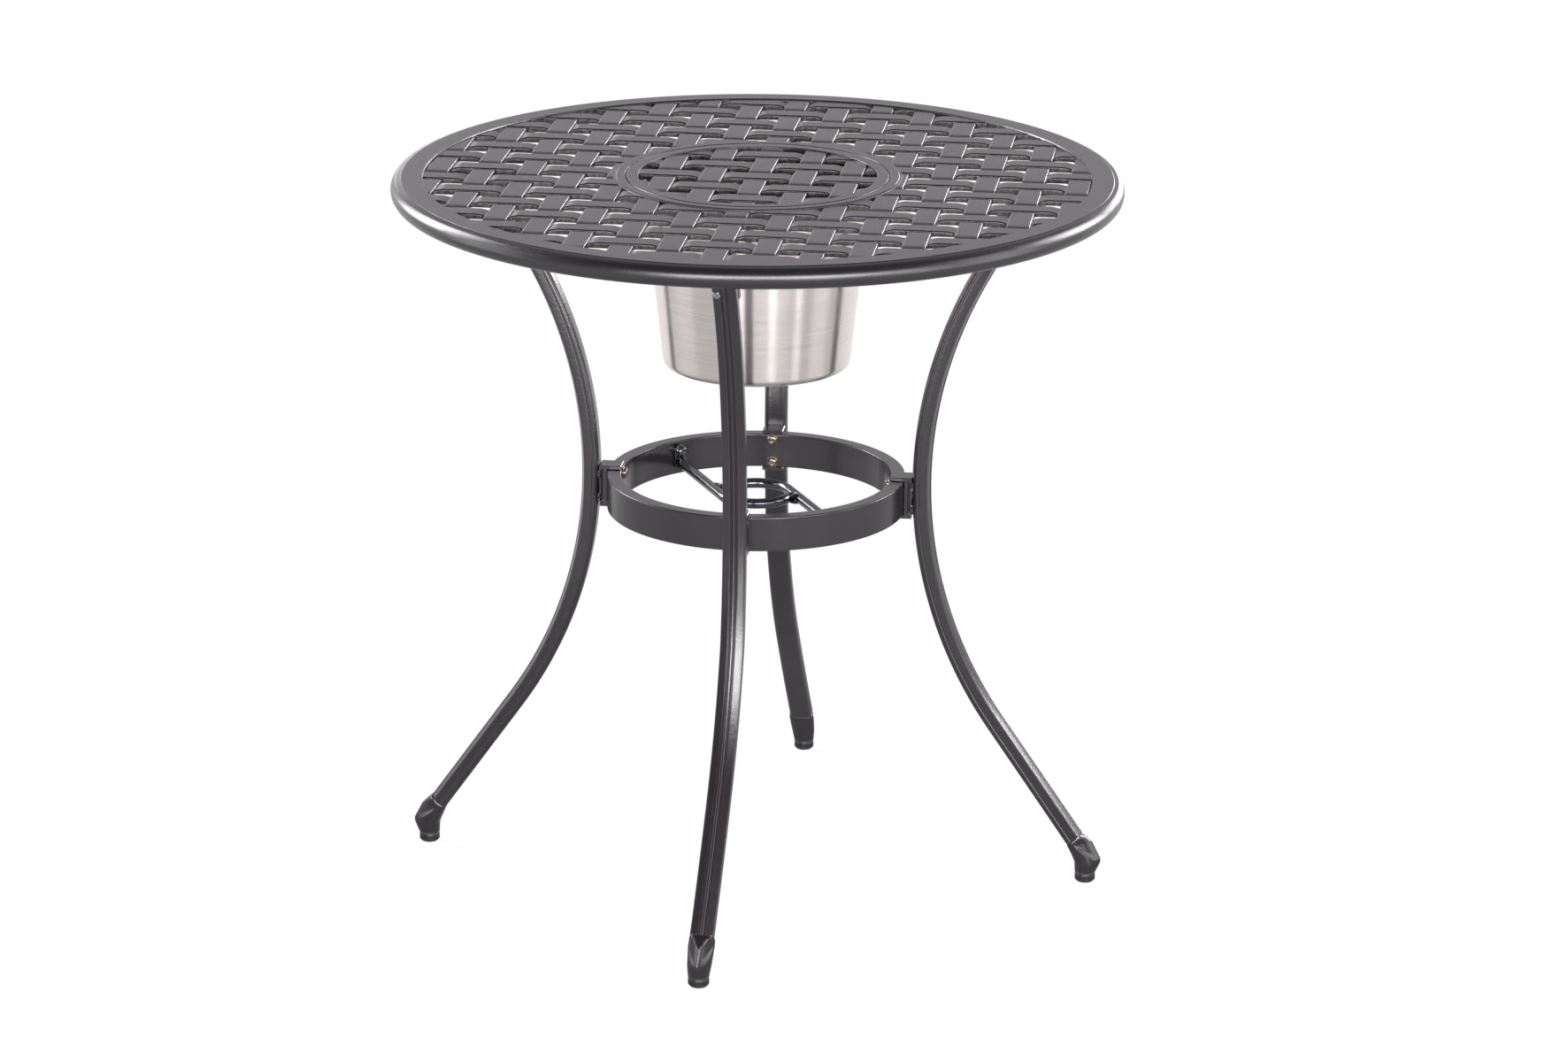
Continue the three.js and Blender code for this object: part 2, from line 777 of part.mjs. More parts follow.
const table = new THREE.Group();
addMesh(table, 'tabletop', toGeometry(makeTop()), castGrey);
addMesh(table, 'lid', toGeometry(makeLid()), castGrey);
addMesh(table, 'bucket', turnedOnAxis(bucketProfile(), bucketSides), brushedSteel);
addMesh(table, 'stretcher_ring', toGeometry(makeStretcher()), castCharcoal);

const legGeometry = turnedWithFrame(toGeometry(makeLeg()));
const footGeometry = toGeometry(makeFoot());
const bracketGeometry = toGeometry(makeBracket());
const washerSeat = stretcherInnerFlat - bendOffset(stretcherInner, washerRadius) - seat;

legSides.forEach((side, quarter) => {
  const corner = new THREE.Group();
  corner.rotation.z = (quarter * Math.PI) / 2;
  table.add(corner);
  addMesh(corner, `leg_${side}`, legGeometry, castCharcoal);
  addMesh(corner, `foot_${side}`, footGeometry, castCharcoal);
  addMesh(corner, `glide_${side}`, glideGeometry(), blackPlastic);
  const frame = new THREE.Group();
  frame.rotation.z = frameTurn;
  corner.add(frame);
  addMesh(frame, `bracket_${side}`, bracketGeometry, castCharcoal);
  bracketScrewHeights.forEach((height, row) => {
    const level = row === 0 ? 'upper' : 'lower';
    const geometry = screwGeometry(bracketScrewEnd - washerSeat);
    const screw = addMesh(frame, `ring_screw_${side}_${level}`, geometry, platedSteel);
    screw.position.set(washerSeat, 0, height);
    screw.rotation.y = Math.PI / 2;
  });
  const legScrew = addMesh(frame, `leg_screw_${side}`, legScrewGeometry(), platedSteel);
  legScrew.position.set(legRadiusAt(legScrewHeight), -legScrewOffset, legScrewHeight);
  legScrew.rotation.y = Math.PI / 2 + upperLean(legScrewHeight);
});

const rodGeometry = toGeometry(makeRod());
for (const [side, angle] of Object.entries(rodAngles)) {
  const half = new THREE.Group();
  half.rotation.z = angle;
  table.add(half);
  addMesh(half, `crossbar_rod_${side}`, rodGeometry, castCharcoal);
  const headSeat = tabSeat - tabThickness - seat;
  const geometry = screwGeometry(rodScrewEnd - headSeat);
  const screw = addMesh(half, `crossbar_screw_${side}`, geometry, platedSteel);
  screw.position.set(headSeat, 0, rodHeight + tabRise);
  screw.rotation.y = Math.PI / 2;
}

export default table;
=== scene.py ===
"""Round cast patio table with a lift-out steel ice bucket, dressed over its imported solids."""

import math
import random

import bmesh
import bpy
from bpy.props import FloatProperty, FloatVectorProperty, PointerProperty
from mathutils import Matrix, Vector


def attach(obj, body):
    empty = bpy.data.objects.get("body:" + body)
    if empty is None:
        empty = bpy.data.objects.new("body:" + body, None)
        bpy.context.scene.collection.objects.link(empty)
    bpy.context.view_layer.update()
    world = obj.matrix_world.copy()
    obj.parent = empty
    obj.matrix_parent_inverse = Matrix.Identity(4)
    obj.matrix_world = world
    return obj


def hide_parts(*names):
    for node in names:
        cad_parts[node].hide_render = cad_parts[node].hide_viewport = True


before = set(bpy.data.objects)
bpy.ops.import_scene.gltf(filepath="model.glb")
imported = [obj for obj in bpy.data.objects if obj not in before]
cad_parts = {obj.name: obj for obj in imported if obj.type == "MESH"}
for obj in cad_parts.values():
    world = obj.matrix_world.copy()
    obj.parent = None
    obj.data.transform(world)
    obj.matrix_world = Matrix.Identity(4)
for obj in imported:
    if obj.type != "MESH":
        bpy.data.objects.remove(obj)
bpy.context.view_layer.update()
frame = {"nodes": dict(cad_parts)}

bl_info = {
    "name": "Ice Bucket Patio Table",
    "version": (1, 0, 0),
    "blender": (4, 5, 0),
    "location": "View3D > Sidebar > Patio Table",
    "description": "Builds the fine surfaces and finishes of a cast patio table",
    "category": "Object",
}

MM = 0.001
FRAME_BODY = "table_frame"
# turns of the four sides and of the two rods, in degrees
CORNERS = {"right": 0.0, "back": 90.0, "left": 180.0, "front": 270.0}
ROD_TURNS = {"left": 135.0, "right": -45.0}
# gap between two pieces that touch, and inner radius where a turned solid closes on its axis
SEAT = 0.3 * MM
AXIS = 0.02 * MM
# points closer than this are one point
SAME_PLACE = 0.0001 * MM
# small rounding of an inner corner, and how many sides a large round piece has
SMALL_EDGE = 0.4 * MM
ROUND_SIDES = 160


# Properties


def length(name, default, description):
    """A length property whose default is given in millimetres."""
    return FloatProperty(
        name=name, description=description, default=default * MM, unit="LENGTH", subtype="DISTANCE"
    )


def turn(name, default, description):
    """An angle property whose default is given in degrees."""
    return FloatProperty(
        name=name, description=description, default=math.radians(default), subtype="ANGLE"
    )


def colour(name, default, description):
    """A linear colour property."""
    return FloatVectorProperty(
        name=name, description=description, default=default, subtype="COLOR", min=0, max=1
    )


class WeaveSizes(bpy.types.PropertyGroup):
    """The woven field of the top and of the lid."""

    pitch: length("Pitch", 44.45, "Distance between the middles of two strands")
    width: length("Width", 22.2, "Width of a strand")
    rise: length("Rise", 2, "How far a strand dives at its ends")
    slope: length("Slope", 9, "Length of the dive at each end")
    drop: length("Drop", 1, "Strands below the flat border")
    corner: length("Corner", 3.4, "Radius of the corners of the holes")
    edge: length("Edge", 1.5, "Rounding of the upper edges")
    low_edge: length("Lower edge", 0.5, "Rounding of the lower edges")
    turned: turn("Turned", 1.5, "Turn of the pattern against the legs")


class TopSizes(bpy.types.PropertyGroup):
    """The cast top: rim, collar and the lugs under it."""

    height: length("Height", 711, "Height of the table")
    radius: length("Radius", 355.4, "Radius over the bullnose")
    border: length("Border", 347, "Radius of the flat border")
    field: length("Field", 324, "Radius of the woven field")
    plate: length("Plate", 6.5, "Thickness of the plate")
    rim_depth: length("Rim depth", 22, "Depth of the bullnose rim")
    rim_wall: length("Rim wall", 13.5, "Thickness of the rim")
    nose: length("Bullnose", 11, "Reach of the bullnose")
    collar: length("Collar", 140.2, "Outer radius of the collar")
    bore: length("Bore", 128.6, "Radius of the collar's bore")
    ledge_bore: length("Ledge bore", 118, "Radius of the opening in the ledge")
    ledge: length("Ledge", 12, "Depth of the ledge below the top")
    ledge_thickness: length("Ledge thickness", 5, "Thickness of the ledge")
    lid: length("Lid", 127.6, "Radius of the lid")
    lid_border: length("Lid border", 11.7, "Width of the lid's flat border")
    lid_thickness: length("Lid thickness", 7.7, "Thickness of the lid's border")


class BucketSizes(bpy.types.PropertyGroup):
    """The steel bucket."""

    mouth: length("Mouth", 110.5, "Outer radius under the flange")
    base: length("Base", 91.3, "Outer radius at the base")
    depth: length("Depth", 178, "Depth below the flange")
    sheet: length("Sheet", 1.4, "Thickness of the steel")
    corner: length("Corner", 8, "Radius of the corner at the base")
    flange: length("Flange", 126.5, "Radius of the flange")
    lip: length("Lip", 3.7, "Height of the lip")


class LegSizes(bpy.types.PropertyGroup):
    """The saber curve of the legs."""

    waist: length("Waist radius", 164.5, "Distance from the middle at the waist")
    waist_height: length("Waist height", 405.6, "Height of the waist")
    upper_bend: length("Upper bend", 440.9, "Radius of the bend above the waist")
    lower_bend: length("Lower bend", 425.2, "Radius of the bend below the waist")
    splay: turn("Splay", 35.1, "Splay of the straight part")
    end: length("Lower end", 45.5, "Height of the joint with the foot")
    top: length("Upper end", 698.2, "Height of the end under the top")
    inner_depth: length("Inner depth", 9.1, "From the leg's line in to its inner face")
    half_width: length("Half width", 11.4, "Half the width of a leg")
    frame_turn: turn("Frame turn", 2, "Turn of the frame against the feet")
    full_turn: length("Full turn", 290, "Height from which the legs are fully turned")
    lug_thickness: length("Lug thickness", 11, "Thickness of the lug behind a leg")
    lug_drop: length("Lug drop", 58, "Lug below the underside of the plate")
    bearer: length("Bearer", 6, "Thickness of the bearer over a leg")
    bearer_start: length("Bearer start", 236, "Inner end of the bearer")
    bearer_end: length("Bearer end", 344, "Outer end of the bearer, in the rim")
    screw_height: length("Screw height", 662, "Height of the screw into the lug")
    screw_offset: length("Screw offset", 7.2, "Screw to one side of the leg's middle")
    screw_seat: length("Screw seat", 5.1, "Seat of the screw outside the leg's line")
    screw_end: length("Screw end", 17.4, "End of the screw inside the leg's line")


class FootSizes(bpy.types.PropertyGroup):
    """The cast feet and the glides under them."""

    radius: length("Radius", 334.73, "Distance from the middle to a foot")
    base: length("Base", 9.7, "Height of the foot's underside")
    edge: length("Edge", 1.7, "Rounding of the foot's edges")
    glide: length("Glide", 10.2, "Radius of a glide")
    glide_base: length("Glide base", 8, "Radius of a glide on the floor")
    glide_edge: length("Glide edge", 2.4, "Height of a glide's lower edge")
    glide_neck: length("Glide neck", 9.4, "Radius of a glide under the foot")
    stem: length("Stem", 4, "Radius of a glide's stem")
    stem_length: length("Stem length", 16, "Length of a glide's stem")


class StretcherSizes(bpy.types.PropertyGroup):
    """The stretcher ring, its brackets, the crossbar and their screws."""

    radius: length("Radius", 147.3, "Outer radius of the ring")
    thickness: length("Thickness", 14, "Thickness of the ring")
    height: length("Height", 34, "Height of the ring")
    middle: length("Middle", 391.3, "Height of the ring's middle")
    edge: length("Edge", 1.3, "Rounding of the ring's edges")
    bracket: length("Bracket", 20.6, "Width of a bracket")
    bracket_depth: length("Bracket depth", 7.5, "Depth of a bracket behind the ring")
    flange: length("Flange", 3.6, "Thickness of a bracket's flanges")
    web: length("Web", 3.4, "Thickness of a bracket's web before its groove")
    groove: length("Groove", 2.4, "Width of a bracket's grooves")
    groove_depth: length("Groove depth", 6, "Depth of a bracket's grooves")
    spacing: length("Spacing", 23.4, "Distance between a bracket's screws")
    rod: length("Rod", 5, "Radius of the crossbar's rods")
    pole_ring: length("Pole ring", 34.5, "Middle radius of the ring that the rods close")
    rod_gap: turn("Rod gap", 43, "From a rod's free end to the other rod's bend")
    rod_drop: length("Rod drop", 4, "Rods below the ring's middle")
    tab: length("Tab", 7, "Half width of a rod's tab")
    tab_thickness: length("Tab thickness", 4, "Thickness of a rod's tab")
    tab_rise: length("Tab rise", 11.4, "From a rod to its screw")
    screw: length("Screw", 3, "Radius of a screw")
    washer: length("Washer", 6.2, "Radius of a washer")
    washer_thickness: length("Washer thickness", 1.2, "Thickness of a washer")
    head: length("Head", 5.2, "Radius of a screw's head")
    head_height: length("Head height", 3.2, "Height of a screw's head")


class Finishes(bpy.types.PropertyGroup):
    """Colours of the finishes."""

    top: colour("Top coat", (0.015, 0.0133, 0.0155), "Powder coat of the top")
    frame: colour("Frame coat", (0.021, 0.018, 0.021), "Powder coat of the frame")
    steel: colour("Bucket", (0.87, 0.8, 0.79), "Brushed steel of the bucket")
    zinc: colour("Fixings", (0.27, 0.23, 0.185), "Zinc plate of the screws")
    # a brighter copy of the zinc plate, a painted glint on the leg screws
    glint_zinc: colour("Leg screws", (0.72, 0.7, 0.66), "Brighter plate of the leg screws")
    plastic: colour("Glides", (0.012, 0.012, 0.013), "Plastic of the glides")
    floor: colour("Floor", (0.96, 0.96, 0.96), "Floor")


class PhotoView(bpy.types.PropertyGroup):
    """Where the picture is taken from."""

    focal: length("Lens", 122.43, "Focal length on a 36 mm wide sensor")
    distance: length("Distance", 5262.8, "Distance from the target")
    target: length("Target", 401.8, "Height of the target")
    azimuth: turn("Azimuth", 9.01, "Turn round the table")
    elevation: turn("Elevation", 17.147, "Height of the view")
    roll: turn("Roll", 0.286, "Roll of the camera")
    pan: turn("Pan", 0.301, "Turn to the right from the target")
    tilt: turn("Tilt", -0.464, "Turn upwards from the target")


class TableSettings(bpy.types.PropertyGroup):
    """All settings of the table."""

    weave: PointerProperty(type=WeaveSizes)
    top: PointerProperty(type=TopSizes)
    bucket: PointerProperty(type=BucketSizes)
    leg: PointerProperty(type=LegSizes)
    foot: PointerProperty(type=FootSizes)
    stretcher: PointerProperty(type=StretcherSizes)
    finish: PointerProperty(type=Finishes)
    view: PointerProperty(type=PhotoView)


# Shaders


class Field:
    """A shader value that adds Math nodes when it is used in an expression."""

    def __init__(self, nodes, socket):
        self.nodes = nodes
        self.socket = socket

    def maths(self, operation, *others, reflected=False):
        """A Math node on this value and the others."""
        values = [*others, self] if reflected else [self, *others]
        return self.nodes.add("ShaderNodeMath", {"operation": operation}, *values)

    def __add__(self, other):
        return self.maths("ADD", other)

    __radd__ = __add__

    def __sub__(self, other):
        return self.maths("SUBTRACT", other)

    def __rsub__(self, other):
        return self.maths("SUBTRACT", other, reflected=True)

    def __mul__(self, other):
        return self.maths("MULTIPLY", other)

    __rmul__ = __mul__

    def clamped(self):
        """This value kept between 0 and 1."""
        settings = {"operation": "ADD", "use_clamp": True}
        return self.nodes.add("ShaderNodeMath", settings, self, 0.0)


class Nodes:
    """A node tree and the few ways of adding to it."""

    def __init__(self, tree):
        self.tree = tree

    def found(self, kind):
        """The first node of a kind that is there already."""
        return next(node for node in self.tree.nodes if node.type == kind)

    def add(self, kind, settings, *values, take=0, **named):
        """Adds a node, sets it up, feeds its sockets and gives one of its outputs."""
        node = self.tree.nodes.new(kind)
        for key, value in settings.items():
            setattr(node, key, value)
        for index, value in enumerate(values):
            self.feed(node.inputs[index], value)
        for key, value in named.items():
            self.feed(self.socket(node, key), value)
        return Field(self, node.outputs[take])

    @staticmethod
    def socket(node, key):
        """The input of a node by its identifier, or by its name with _ for each space."""
        return next(s for s in node.inputs if key in (s.identifier, s.name.replace(" ", "_")))

    def feed(self, socket, value):
        """Links or sets one socket."""
        if isinstance(value, Field):
            self.tree.links.new(value.socket, socket)
        elif isinstance(value, tuple) and len(value) == 3 and socket.type == "RGBA":
            socket.default_value = (*value, 1)
        else:
            socket.default_value = value

    def place(self):
        """Object coordinates, which are the table's own."""
        return self.add("ShaderNodeTexCoord", {}, take="Object")

    def spread(self, scales):
        """Object coordinates stretched by a scale on each axis."""
        settings = {"operation": "MULTIPLY"}
        return self.add("ShaderNodeVectorMath", settings, self.place(), scales)

    def cloud(self, scale, detail, roughness, vector=None):
        """Noise in object space, about 0.5 in the middle; scale is in waves per metre."""
        where = vector or self.place()
        named = {"Vector": where, "Scale": scale, "Detail": detail, "Roughness": roughness}
        return self.add("ShaderNodeTexNoise", {"noise_dimensions": "3D"}, **named)

    def cells(self, scale, smoothness):
        """Distance to the nearest cell centre; scale is in cells per metre."""
        settings = {"feature": "SMOOTH_F1"}
        named = {"Vector": self.place(), "Scale": scale, "Smoothness": smoothness}
        return self.add("ShaderNodeTexVoronoi", settings, **named)

    def step(self, value, low, high):
        """0 below low, 1 above high and smooth between them."""
        settings = {"interpolation_type": "SMOOTHSTEP"}
        return self.add("ShaderNodeMapRange", settings, value, low, high, 0.0, 1.0)

    def between(self, value, start, end):
        """1 from the start to the end and 0 outside; both are soft steps, given as (low, high)."""
        return self.step(value, *start) * (1 - self.step(value, *end))

    def blend(self, share, low, high):
        """Mixes two colours by a share."""
        named = {"Factor_Float": share, "A_Color": low, "B_Color": high}
        return self.add("ShaderNodeMix", {"data_type": "RGBA"}, take=2, **named)

    def dot(self, vector, other):
        """Dot product of two vectors."""
        settings = {"operation": "DOT_PRODUCT"}
        return self.add("ShaderNodeVectorMath", settings, vector, other, take="Value")

    def reach(self, vector):
        """Length of a vector."""
        return self.add("ShaderNodeVectorMath", {"operation": "LENGTH"}, vector, take="Value")

    def bump(self, height, strength, distance):
        """A Bump node over a height."""
        named = {"Strength": strength, "Distance": distance, "Height": height}
        return self.add("ShaderNodeBump", {}, **named)

    def part(self, vector, axis):
        """One part of a vector."""
        return self.add("ShaderNodeSeparateXYZ", {}, vector, take=axis)

    def normal(self):
        """Direction in which the surface faces."""
        return self.add("ShaderNodeNewGeometry", {}, take="Normal")

    def ray(self, kind):
        """1 for rays of one kind and 0 for all others."""
        return self.add("ShaderNodeLightPath", {}, take=f"Is {kind} Ray")

    def edge_wear_and_highlight(self, radius):
        """About 1 on sharp edges and 0 on flat faces."""
        bevel = self.add("ShaderNodeBevel", {"samples": 4}, radius)
        return self.step(1 - self.dot(bevel, self.normal()), 0.02, 0.2)


class Coat(Nodes):
    """A material and its main shader."""

    def __init__(self, name):
        self.material = bpy.data.materials.new(name)
        self.material.use_nodes = True
        super().__init__(self.material.node_tree)
        self.shader = self.found("BSDF_PRINCIPLED")

    def surface(self, **values):
        """Feeds the main shader by the names of its sockets."""
        for key, value in values.items():
            self.feed(self.socket(self.shader, key), value)


def tint(base, factor):
    """A colour made lighter or darker."""
    return tuple(min(1.0, part * factor) for part in base)


# Coats

# high, because the powder coat is nearly black and shows mostly by what it mirrors
COAT_IOR = 1.85


def coat_of_top(colours):
    """Charcoal powder coat with a fine grain, paler and rough on the walls of the holes."""
    coat = Coat("top_coat")
    field = bpy.context.scene.patio_table.top.field
    highlight_and_wear_radius, relief_depth, border_blur = 0.6 * MM, 0.6 * MM, MM
    sand_colour = (0.085, 0.08, 0.073)
    facing_up = coat.part(coat.normal(), "Z").maths("ABSOLUTE")
    radius = coat.reach(coat.spread((1.0, 1.0, 0.0)))
    woven = 1 - coat.step(radius, field, field + border_blur)
    wall = woven * (1 - coat.step(facing_up, 0.05, 0.3))
    grain = coat.cloud(1900.0, detail=3.0, roughness=0.65)
    speckle = coat.step(coat.cloud(3400.0, detail=1.0, roughness=0.5), 0.56, 0.7)
    sand = coat.cloud(240.0, detail=5.0, roughness=0.7)
    drift = coat.cloud(9.0, detail=3.0, roughness=0.5)
    level = 0.42 * drift + 0.58 * grain
    base = tuple(colours.top)
    flat = coat.blend(coat.step(level, 0.38, 0.62), tint(base, 0.8), tint(base, 1.2))
    sparkle = coat.blend(speckle * 0.4, flat, tint(base, 3.5))
    # edges made much lighter than the coat: partly wear, partly a painted highlight of the light the
    # edges catch
    wear_and_highlight = coat.blend(coat.edge_wear_and_highlight(highlight_and_wear_radius) * 0.5, sparkle, tint(base, 17.0))
    rough_wall = coat.blend(coat.step(sand, 0.44, 0.6), tint(base, 0.5), sand_colour)
    relief = grain * 0.3 + sand * (wall * 1.2 + 0.06)
    coat.surface(
        Base_Color=coat.blend(wall * 0.9, wear_and_highlight, rough_wall),
        Metallic=0.25,
        Roughness=(0.2 + 0.1 * grain + 0.06 * wall).clamped(),
        IOR=COAT_IOR,
        Normal=coat.bump(relief, strength=0.5, distance=relief_depth),
    )
    return coat.material


def coat_of_frame(colours):
    """Charcoal powder coat over a lightly hammered casting."""
    highlight_and_wear_radius = 1.2 * MM
    return painted("frame_coat", tuple(colours.frame), highlight_and_wear_radius, highlight_and_wear_tint=8.0)


def coat_of_feet(colours):
    """The same coat, much lighter along the edges of the feet: a painted highlight."""
    highlight_and_wear_radius = 1.6 * MM
    return painted("foot_coat", tint(tuple(colours.frame), 0.8), highlight_and_wear_radius, highlight_and_wear_tint=20.0)


def painted(name, base, highlight_and_wear_radius, highlight_and_wear_tint):
    """Powder coat over a cast surface, lighter along its edges: partly wear, partly a painted
    highlight.
    """
    coat = Coat(name)
    relief_depth = 0.5 * MM
    grain = coat.cloud(1500.0, detail=3.0, roughness=0.6)
    hammer = coat.cells(330.0, smoothness=0.6)
    ripple = coat.cloud(120.0, detail=3.0, roughness=0.55)
    speckle = coat.step(coat.cloud(2600.0, detail=1.0, roughness=0.5), 0.57, 0.7)
    drift = coat.cloud(12.0, detail=3.0, roughness=0.5)
    level = 0.4 * drift + 0.6 * grain
    flat = coat.blend(coat.step(level, 0.38, 0.62), tint(base, 0.8), tint(base, 1.2))
    mixed = coat.blend(speckle * 0.4, flat, tint(base, 3.2))
    # edges made lighter than the coat: partly wear, partly a painted highlight of the light the
    # edges catch
    wear_and_highlight = coat.blend(coat.edge_wear_and_highlight(highlight_and_wear_radius) * 0.7, mixed, tint(base, highlight_and_wear_tint))
    relief = hammer * 0.3 + ripple * 0.5 + grain * 0.2
    coat.surface(
        Base_Color=wear_and_highlight,
        Metallic=0.3,
        Roughness=(0.14 + 0.1 * grain + 0.05 * ripple).clamped(),
        IOR=COAT_IOR,
        Normal=coat.bump(relief, strength=0.3, distance=relief_depth),
    )
    return coat.material


def coat_of_bucket(colours):
    """Stainless steel brushed round the wall."""
    coat = Coat("brushed_steel")
    relief_depth = 0.1 * MM
    streaks = coat.cloud(1.0, detail=3.0, roughness=0.6, vector=coat.spread((14.0, 14.0, 5200.0)))
    bands = coat.cloud(1.0, detail=2.0, roughness=0.5, vector=coat.spread((3.0, 3.0, 700.0)))
    smears = coat.cloud(16.0, detail=4.0, roughness=0.55)
    base = tuple(colours.steel)
    level = 0.65 * streaks + 0.35 * bands
    mixed = coat.blend(coat.step(level, 0.36, 0.64), tint(base, 0.9), tint(base, 1.06))
    coat.surface(
        Base_Color=coat.blend(coat.step(smears, 0.6, 0.78) * 0.15, mixed, tint(base, 0.75)),
        Metallic=1.0,
        Roughness=(0.14 + 0.1 * streaks + 0.05 * smears).clamped(),
        Anisotropic=0.9,
        Anisotropic_Rotation=0.25,
        Normal=coat.bump(level, strength=0.12, distance=relief_depth),
    )
    return coat.material


def coat_of_fixings(colours):
    """Zinc plate, yellowed and dull."""
    return plated("zinc_plate", tuple(colours.zinc))


def coat_of_leg_screws(colours):
    """Brighter copy of the zinc plate for the leg screws: a painted glint."""
    return plated("bright_plate", tuple(colours.glint_zinc))


def plated(name, base):
    """Cloudy, finely scratched plate."""
    coat = Coat(name)
    relief_depth = 0.1 * MM
    cloudy = coat.cloud(260.0, detail=4.0, roughness=0.6)
    scratch = coat.cloud(1.0, detail=2.0, roughness=0.5, vector=coat.spread((900.0, 2600.0, 900.0)))
    coat.surface(
        Base_Color=coat.blend(coat.step(cloudy, 0.35, 0.65), tint(base, 0.6), tint(base, 1.2)),
        Metallic=1.0,
        Roughness=(0.14 + 0.2 * cloudy).clamped(),
        Normal=coat.bump(scratch, strength=0.2, distance=relief_depth),
    )
    return coat.material


def coat_of_crossbar(colours):
    """Dark shiny coat of the crossbar's rods and of their screws."""
    coat = Coat("crossbar_coat")
    relief_depth = 0.2 * MM
    grain = coat.cloud(1600.0, detail=3.0, roughness=0.6)
    base = tuple(colours.plastic)
    coat.surface(
        Base_Color=coat.blend(coat.step(grain, 0.4, 0.62), tint(base, 8.0), tint(base, 16.0)),
        Metallic=1.0,
        Roughness=(0.1 + 0.12 * grain).clamped(),
        Normal=coat.bump(grain, strength=0.2, distance=relief_depth),
    )
    return coat.material


def coat_of_glides(colours):
    """Black moulded plastic, scuffed at the floor."""
    coat = Coat("glide_plastic")
    relief_depth = 0.2 * MM
    scuffed, clean = MM, 4 * MM
    scuff = coat.cloud(700.0, detail=4.0, roughness=0.65)
    height = coat.part(coat.place(), "Z")
    low = 1 - coat.step(height, scuffed, clean)
    wear_and_highlight = low * coat.step(scuff, 0.42, 0.6)
    base = tuple(colours.plastic)
    coat.surface(
        Base_Color=coat.blend(wear_and_highlight, base, tint(base, 6.0)),
        Metallic=0.0,
        Roughness=(0.38 + 0.3 * wear_and_highlight + 0.12 * scuff).clamped(),
        Normal=coat.bump(scuff, strength=0.3, distance=relief_depth),
    )
    return coat.material


SLOT_COATS = {
    "cast_top": coat_of_top,
    "painted_frame": coat_of_frame,
    "bucket_steel": coat_of_bucket,
    "plated_fixings": coat_of_fixings,
    "glide_plastic": coat_of_glides,
}
made_coats = {}


def made(coat):
    """The material of a coat, made once."""
    if coat not in made_coats:
        made_coats[coat] = coat(bpy.context.scene.patio_table.finish)
    return made_coats[coat]


# Mesh building


def skin(mesh, rings, closed_path=False):
    """Joins rings of equal count with faces, and closes the two ends of an open path."""
    rows = [[mesh.verts.new(point) for point in ring] for ring in rings]
    count = len(rows[0])
    pairs = list(zip(rows, rows[1:]))
    if closed_path:
        pairs.append((rows[-1], rows[0]))
    for first, second in pairs:
        for index in range(count):
            after = (index + 1) % count
            mesh.faces.new((first[index], first[after], second[after], second[index]))
    if not closed_path:
        mesh.faces.new(list(reversed(rows[0])))
        mesh.faces.new(rows[-1])


def lathe(mesh, outline, sides):
    """Turns a closed outline of radius and height about Z."""
    rings = []
    for side in range(sides):
        angle = 2 * math.pi * side / sides
        rings.append([(r * math.cos(angle), r * math.sin(angle), z) for r, z in outline])
    skin(mesh, rings, closed_path=True)


def rounded(points, steps=4):
    """An outline whose corners are rounded: each point is (x, y, radius)."""
    most_share = 0.49
    outline = []
    count = len(points)
    for index, (x, y, radius) in enumerate(points):
        here = Vector((x, y))
        before = Vector(points[index - 1][:2]) - here
        after = Vector(points[(index + 1) % count][:2]) - here
        if radius <= 0:
            outline.append((x, y))
            continue
        half = before.angle(after) / 2
        back = min(radius / math.tan(half), before.length * most_share, after.length * most_share)
        start = here + before.normalized() * back
        end = here + after.normalized() * back
        for step in range(steps + 1):
            share = step / steps
            low = start.lerp(here, share)
            high = here.lerp(end, share)
            outline.append(tuple(low.lerp(high, share)))
    return outline


def scaled(points):
    """Outline points given in millimetres, in metres."""
    return [tuple(part * MM for part in point) for point in points]


def add_piece(name, mesh, slot, nodes, body=FRAME_BODY, sharp=32.0, matrix=None, coat=None):
    """Makes the object, parents it to the empty of the body it rides on and hides the imported parts
    it stands for.

    sharp is the angle in degrees from which an edge stays sharp.
    """
    bmesh.ops.remove_doubles(mesh, verts=mesh.verts, dist=SAME_PLACE)
    bmesh.ops.recalc_face_normals(mesh, faces=mesh.faces)
    if matrix is not None:
        bmesh.ops.transform(mesh, matrix=matrix, verts=mesh.verts)
    data = bpy.data.meshes.new(name)
    mesh.to_mesh(data)
    mesh.free()
    data.shade_smooth()
    data.set_sharp_from_angle(angle=math.radians(sharp))
    piece = bpy.data.objects.new(name, data)
    bpy.context.scene.collection.objects.link(piece)
    data.materials.append(made(coat or SLOT_COATS[slot]))
    even = piece.modifiers.new("even_shading", "WEIGHTED_NORMAL")
    even.keep_sharp = True
    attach(piece, body)
    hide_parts(*nodes)
    return piece


def corner_matrix(side, turned=0.0):
    """Turns what is built for the right side to another side, and on with the frame."""
    return Matrix.Rotation(math.radians(CORNERS[side]) + turned, 4, "Z")


def join(mesh, part, matrix):
    """Moves a part into a mesh."""
    bmesh.ops.transform(part, matrix=matrix, verts=part.verts)
    data = bpy.data.meshes.new("part")
    part.to_mesh(data)
    part.free()
    mesh.from_mesh(data)
    bpy.data.meshes.remove(data)


def turn_with_frame(mesh, leg, foot):
    """Turns a piece of the leg about the middle, from none at the foot to the frame's turn."""
    for vert in mesh.verts:
        share = (vert.co.z - foot.base) / (leg.full_turn - foot.base)
        vert.co.rotate(Matrix.Rotation(leg.frame_turn * min(max(share, 0.0), 1.0), 3, "Z"))


